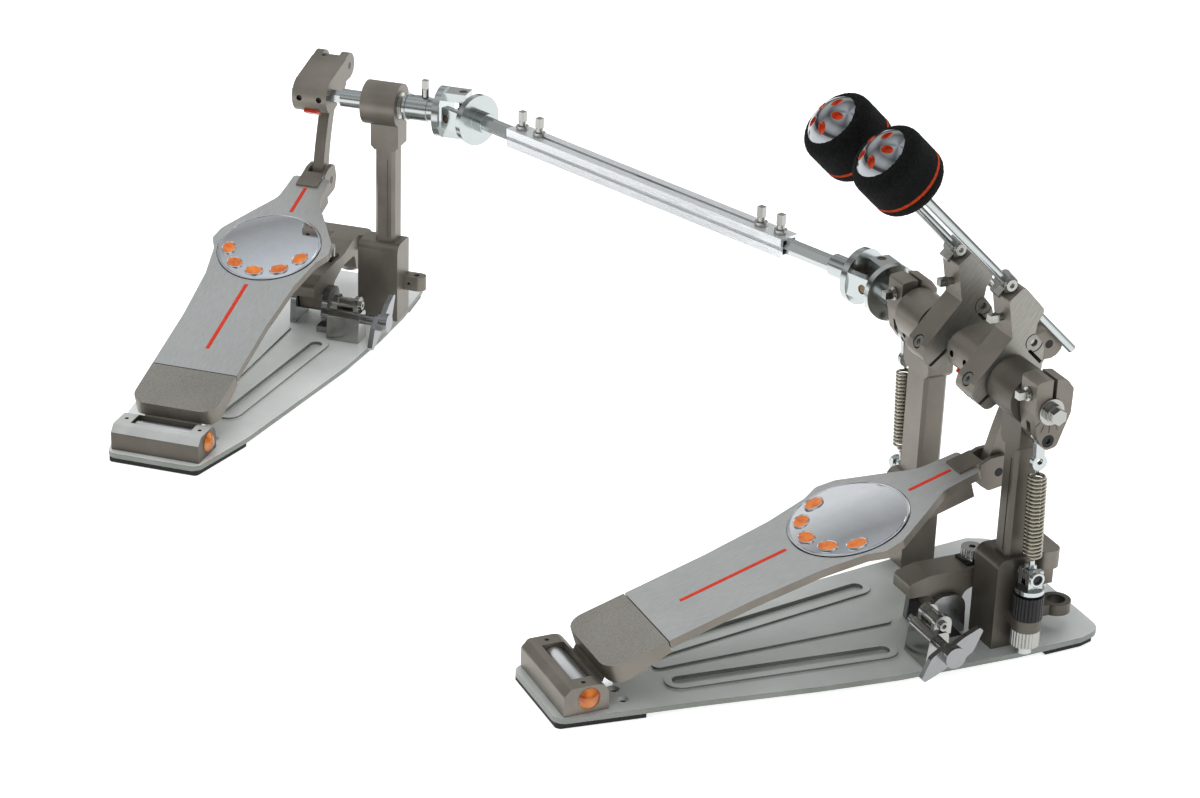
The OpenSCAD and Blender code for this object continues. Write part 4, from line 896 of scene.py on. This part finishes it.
class PEDAL_OT_fork_screws(bpy.types.Operator):
    """Socket screws with round cheeks on the spring forks"""
    bl_idname = "pedal.fork_screws"
    bl_label = "Fork screws"

    def execute(self, context):
        obj = cylinder(64, CHEEK_R, 2.0, 1.0)
        bpy.ops.object.mode_set(mode="EDIT")
        select_faces(obj)
        # The cheek's rounded edge and face, the gap round the screw's head, and its socket
        step_in([(0.4, 0.3), (1.3, 0.0), (0.15, -0.3), (0.1, 0.2), (0.9, 0.0), (0.1, -0.8)])
        bpy.ops.object.mode_set(mode="OBJECT")
        settle(obj)
        coat(obj, "yoke", "black")
        for face in obj.data.polygons:
            out = max(obj.data.vertices[i].co.xy.length for i in face.vertices)
            face.material_index = 1 if out < SOCKET_R * MM else 0
        copies = []
        for side, x in (("right", RIGHT_SPRING_X), ("left", LEFT_SPRING_X)):
            for end, sign in (("outer", 1), ("inner", -1)):
                one = twin(obj, "screw")
                at = Vector((x + sign * FORK_HALF, *SPRING_FOOT)) * MM
                turn = Matrix.Rotation(math.radians(90 * sign), 4, "Y")
                settle(one, MAIN @ Matrix.Translation(at) @ turn)
                copies.append((one, side + "_fork_screw_" + end))
        bpy.data.objects.remove(obj)
        for one, name in copies:
            finish_piece(one, name, BODY_OF["tension_rods"], smooth=35)
        return {"FINISHED"}


class PEDAL_OT_springs(bpy.types.Operator):
    """Return springs: one round wire each, closed onto the swivel and the eye"""
    bl_idname = "pedal.springs"
    bl_label = "Springs"

    def execute(self, context):
        sizes = context.scene.pedal_sizes
        lean = math.atan2(SPRING_FOOT[0], AXLE_H - PIVOT_DROP - SPRING_FOOT[1])
        low, high = SPRING_ENDS
        lead, rise = SPRING_LEAD, SPRING_RISE
        coil_r = SPRING_OUTER - sizes.wire
        coil_len = high - low - 2 * (lead + rise)
        points = sizes.turns * SPRING_PER_TURN

        def ease(u):
            return u * u * (3 - 2 * u)

        def hook(k, turn, z):
            """A point k twelfths of the way from the spring's middle out to its coil."""
            r = coil_r * ease(k / 12)
            return (r * math.cos(turn), r * math.sin(turn), z)
        path = [(0, 0, 0), (0, 0, lead / 2), (0, 0, lead)]
        for k in range(1, 12):
            up = lead + rise * math.sin(math.radians(7.5 * k))
            path.append(hook(k, math.radians(-180 + 15 * k), up))
        for k in range(points + 1):
            path.append(hook(12, 2 * math.pi * k / SPRING_PER_TURN,
                             lead + rise + coil_len * k / points))
        for k in range(11, 0, -1):
            up = lead + rise + coil_len + rise * (1 - math.sin(math.radians(7.5 * k)))
            path.append(hook(k, math.radians(180 - 15 * k), up))
        path += [(0, 0, high - low - z) for z in (lead, lead / 2, 0)]
        for side, x in (("right", RIGHT_SPRING_X), ("left", LEFT_SPRING_X)):
            foot = Matrix.Translation(Vector((x, *SPRING_FOOT)) * MM)
            place = (MAIN @ foot @ Matrix.Rotation(lean, 4, "X")
                     @ Matrix.Translation((0, 0, low * MM)))
            curve = bpy.data.curves.new("Spring_Wire", "CURVE")
            curve.dimensions = "3D"
            line = curve.splines.new("POLY")
            line.points.add(len(path) - 1)
            for point, p in zip(line.points, path):
                point.co = (p[0] * MM, p[1] * MM, p[2] * MM, 1)
            curve.bevel_depth = sizes.wire * MM
            curve.bevel_resolution = 4
            curve.use_fill_caps = True
            obj = bpy.data.objects.new("wire", curve)
            context.scene.collection.objects.link(obj)
            only(obj)
            bpy.ops.object.convert(target="MESH")
            obj = context.object
            settle(obj, place)
            obj.name = side + "_spring_piece"
            obj.data.materials.clear()
            coat(obj, "spring")
            bpy.ops.object.shade_smooth()
            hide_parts(side + "_spring")
            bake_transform(obj)
        return {"FINISHED"}


def either(material, path, kind, other):
    """One where a ray is of this kind or the other output says so, else nought."""
    made = add(material, "ShaderNodeMath", {"operation": "MAXIMUM"}, {0: (path, kind), 1: other})
    return made, "Value"


def choose(material, where, no, yes):
    """Mixes two shaders by an output that is one or nought."""
    return add(material, "ShaderNodeMixShader", {}, {0: where, 1: (no, 0), 2: (yes, 0)})


class PEDAL_OT_stage(bpy.types.Operator):
    """Camera, floor, soft studio lights and a pale surround"""
    bl_idname = "pedal.stage"
    bl_label = "Stage"

    def execute(self, context):
        scene = context.scene
        az, el, roll = (math.radians(angle) for angle in CAMERA_TURN)
        back = Vector((math.sin(az) * math.cos(el), -math.cos(az) * math.cos(el), math.sin(el)))
        side = Vector((math.cos(az), math.sin(az), 0))
        up = back.cross(side)
        right = math.cos(roll) * side + math.sin(roll) * up
        top = -math.sin(roll) * side + math.cos(roll) * up
        data = bpy.data.cameras.new("Photo_Camera")
        data.sensor_width = SENSOR
        data.lens = CAMERA_FOCUS * SENSOR / PHOTO_WIDTH
        data.clip_end = 50
        camera = bpy.data.objects.new("Photo_Camera", data)
        turned = Matrix((right, top, back)).transposed().to_4x4()
        turned.translation = (Vector(CAMERA_TARGET) + back * CAMERA_AWAY) * MM
        camera.matrix_world = turned
        scene.collection.objects.link(camera)
        scene.camera = camera

        # Floor: dull enough to take a soft shadow, and lifted towards white for every ray that
        # shows it, but not for the light that it throws on the pedal
        bpy.ops.object.select_all(action="DESELECT")
        bpy.ops.mesh.primitive_plane_add(size=14, location=(-0.2, -0.2, -0.0002))
        floor = context.object
        floor.name = "Floor"
        material = bpy.data.materials.new("Pale_Floor")
        material.use_nodes = True
        material.node_tree.nodes.clear()
        path = add(material, "ShaderNodeLightPath")
        eye_ray = either(material, path, "Is Camera Ray", (path, "Is Transmission Ray"))
        seen = either(material, path, "Is Glossy Ray", eye_ray)
        paint = add(material, "ShaderNodeBsdfDiffuse", {"Color": grey(0.8)})
        glow = add(material, "ShaderNodeEmission", {"Color": grey(1), "Strength": 0.62})
        dark = add(material, "ShaderNodeEmission", {"Color": grey(0), "Strength": 0.0})
        lift = choose(material, seen, dark, glow)
        both = add(material, "ShaderNodeAddShader", {}, {0: (paint, 0), 1: (lift, 0)})
        add(material, "ShaderNodeOutputMaterial", {}, {"Surface": (both, 0)})
        floor.data.materials.append(material)

        world = bpy.data.worlds.new("Studio")
        scene.world = world
        world.use_nodes = True
        world.node_tree.nodes.clear()
        # Metal sees a white horizon, a dark band over it, pale walls with grey flags and a
        # bright ceiling; everything else is lit by a soft even sky
        path = add(world, "ShaderNodeLightPath")
        place = add(world, "ShaderNodeTexCoord")
        split = add(world, "ShaderNodeSeparateXYZ", {}, {0: (place, "Generated")})
        shade = ramp(world, (split, "Z"), 0.0, 0.9, grey(0.32), (0.84, 0.87, 0.9, 1.0))
        shade.color_ramp.elements.new(0.4).color = (0.52, 0.53, 0.54, 1.0)
        sky = add(world, "ShaderNodeBackground", {"Strength": 1.0}, {"Color": (shade, "Color")})
        walls = ramp(world, (split, "Z"), 0.0, 0.94, grey(1.0), (0.8, 0.83, 0.87, 1.0))
        for at, value in WALLS:
            walls.color_ramp.elements.new(at).color = grey(value)
        around = add(world, "ShaderNodeTexGradient", {"gradient_type": "RADIAL"},
                     {"Vector": (place, "Generated")})
        flags = ramp(world, (around, "Fac"), 0.0, 1.0, grey(1.0), grey(1.0))
        for at in FLAGS:
            for step, value in ((-0.08, 1.0), (0.0, 0.4), (0.08, 1.0)):
                flags.color_ramp.elements.new(at + step).color = grey(value)
        flagged = add(world, "ShaderNodeMixRGB", {"blend_type": "MULTIPLY", "Fac": 1.0},
                      {"Color1": (walls, "Color"), "Color2": (flags, "Color")})
        studio = add(world, "ShaderNodeBackground", {"Strength": 1.0},
                     {"Color": (flagged, "Color")})
        white = add(world, "ShaderNodeBackground", {"Color": grey(1), "Strength": 1.0})
        mirrored = either(world, path, "Is Glossy Ray", (path, "Is Transmission Ray"))
        inner = choose(world, mirrored, sky, studio)
        outer = choose(world, (path, "Is Camera Ray"), inner, white)
        add(world, "ShaderNodeOutputWorld", {}, {"Surface": (outer, 0)})

        def lamp(name, at, size, power, mirrored=False):
            """An area lamp aimed at the pedal's middle, watts and metres."""
            light = bpy.data.lights.new(name, "AREA")
            light.shape = "RECTANGLE"
            light.size, light.size_y = size
            light.energy = power
            obj = bpy.data.objects.new(name, light)
            obj.location = at
            obj.rotation_euler = (middle - Vector(at)).to_track_quat("-Z", "Y").to_euler()
            obj.visible_glossy = mirrored
            scene.collection.objects.link(obj)
        middle = Vector((-0.3, -0.25, 0.1))
        lamp("Overhead", (-0.5, -0.3, 2.3), (3.0, 2.2), 26)
        lamp("Key", (1.5, -2.3, 1.9), (1.8, 1.3), 11)
        lamp("Left_Fill", (-2.4, -1.2, 1.5), (2.0, 1.5), 13)
        lamp("Rear_Strip", (-1.0, 2.2, 1.3), (2.4, 0.7), 8, mirrored=True)
        scene.view_settings.view_transform = "Standard"
        return {"FINISHED"}


ORDER = ("stage", "machined_metal", "footboards", "hinge_caps", "felt_heads", "beater_domes",
         "fork_screws", "springs")


class PEDAL_PT_panel(bpy.types.Panel):
    """Lists the pedal's pieces in the sidebar"""
    bl_idname = "PEDAL_PT_panel"
    bl_label = "Double bass drum pedal"
    bl_space_type = "VIEW_3D"
    bl_region_type = "UI"
    bl_category = "Pedal"

    def draw(self, context):
        column = self.layout.column()
        for group in (context.scene.pedal_colours, context.scene.pedal_sizes):
            for name in group.bl_rna.properties.keys():
                if name not in ("rna_type", "name"):
                    column.prop(group, name)
        for name in ORDER:
            column.operator("pedal." + name)


CLASSES = (PedalColours, PedalSizes, PEDAL_OT_machined_metal, PEDAL_OT_footboards,
           PEDAL_OT_hinge_caps, PEDAL_OT_felt_heads, PEDAL_OT_beater_domes,
           PEDAL_OT_fork_screws, PEDAL_OT_springs, PEDAL_OT_stage, PEDAL_PT_panel)


def register():
    for cls in CLASSES:
        bpy.utils.register_class(cls)
    bpy.types.Scene.pedal_colours = bpy.props.PointerProperty(type=PedalColours)
    bpy.types.Scene.pedal_sizes = bpy.props.PointerProperty(type=PedalSizes)


def unregister():
    del bpy.types.Scene.pedal_sizes
    del bpy.types.Scene.pedal_colours
    for cls in reversed(CLASSES):
        bpy.utils.unregister_class(cls)


def main():
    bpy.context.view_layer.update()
    register()
    make_finishes(bpy.context.scene.pedal_colours)
    for name in ORDER:
        getattr(bpy.ops.pedal, name)()


if __name__ == "__main__":
    main()
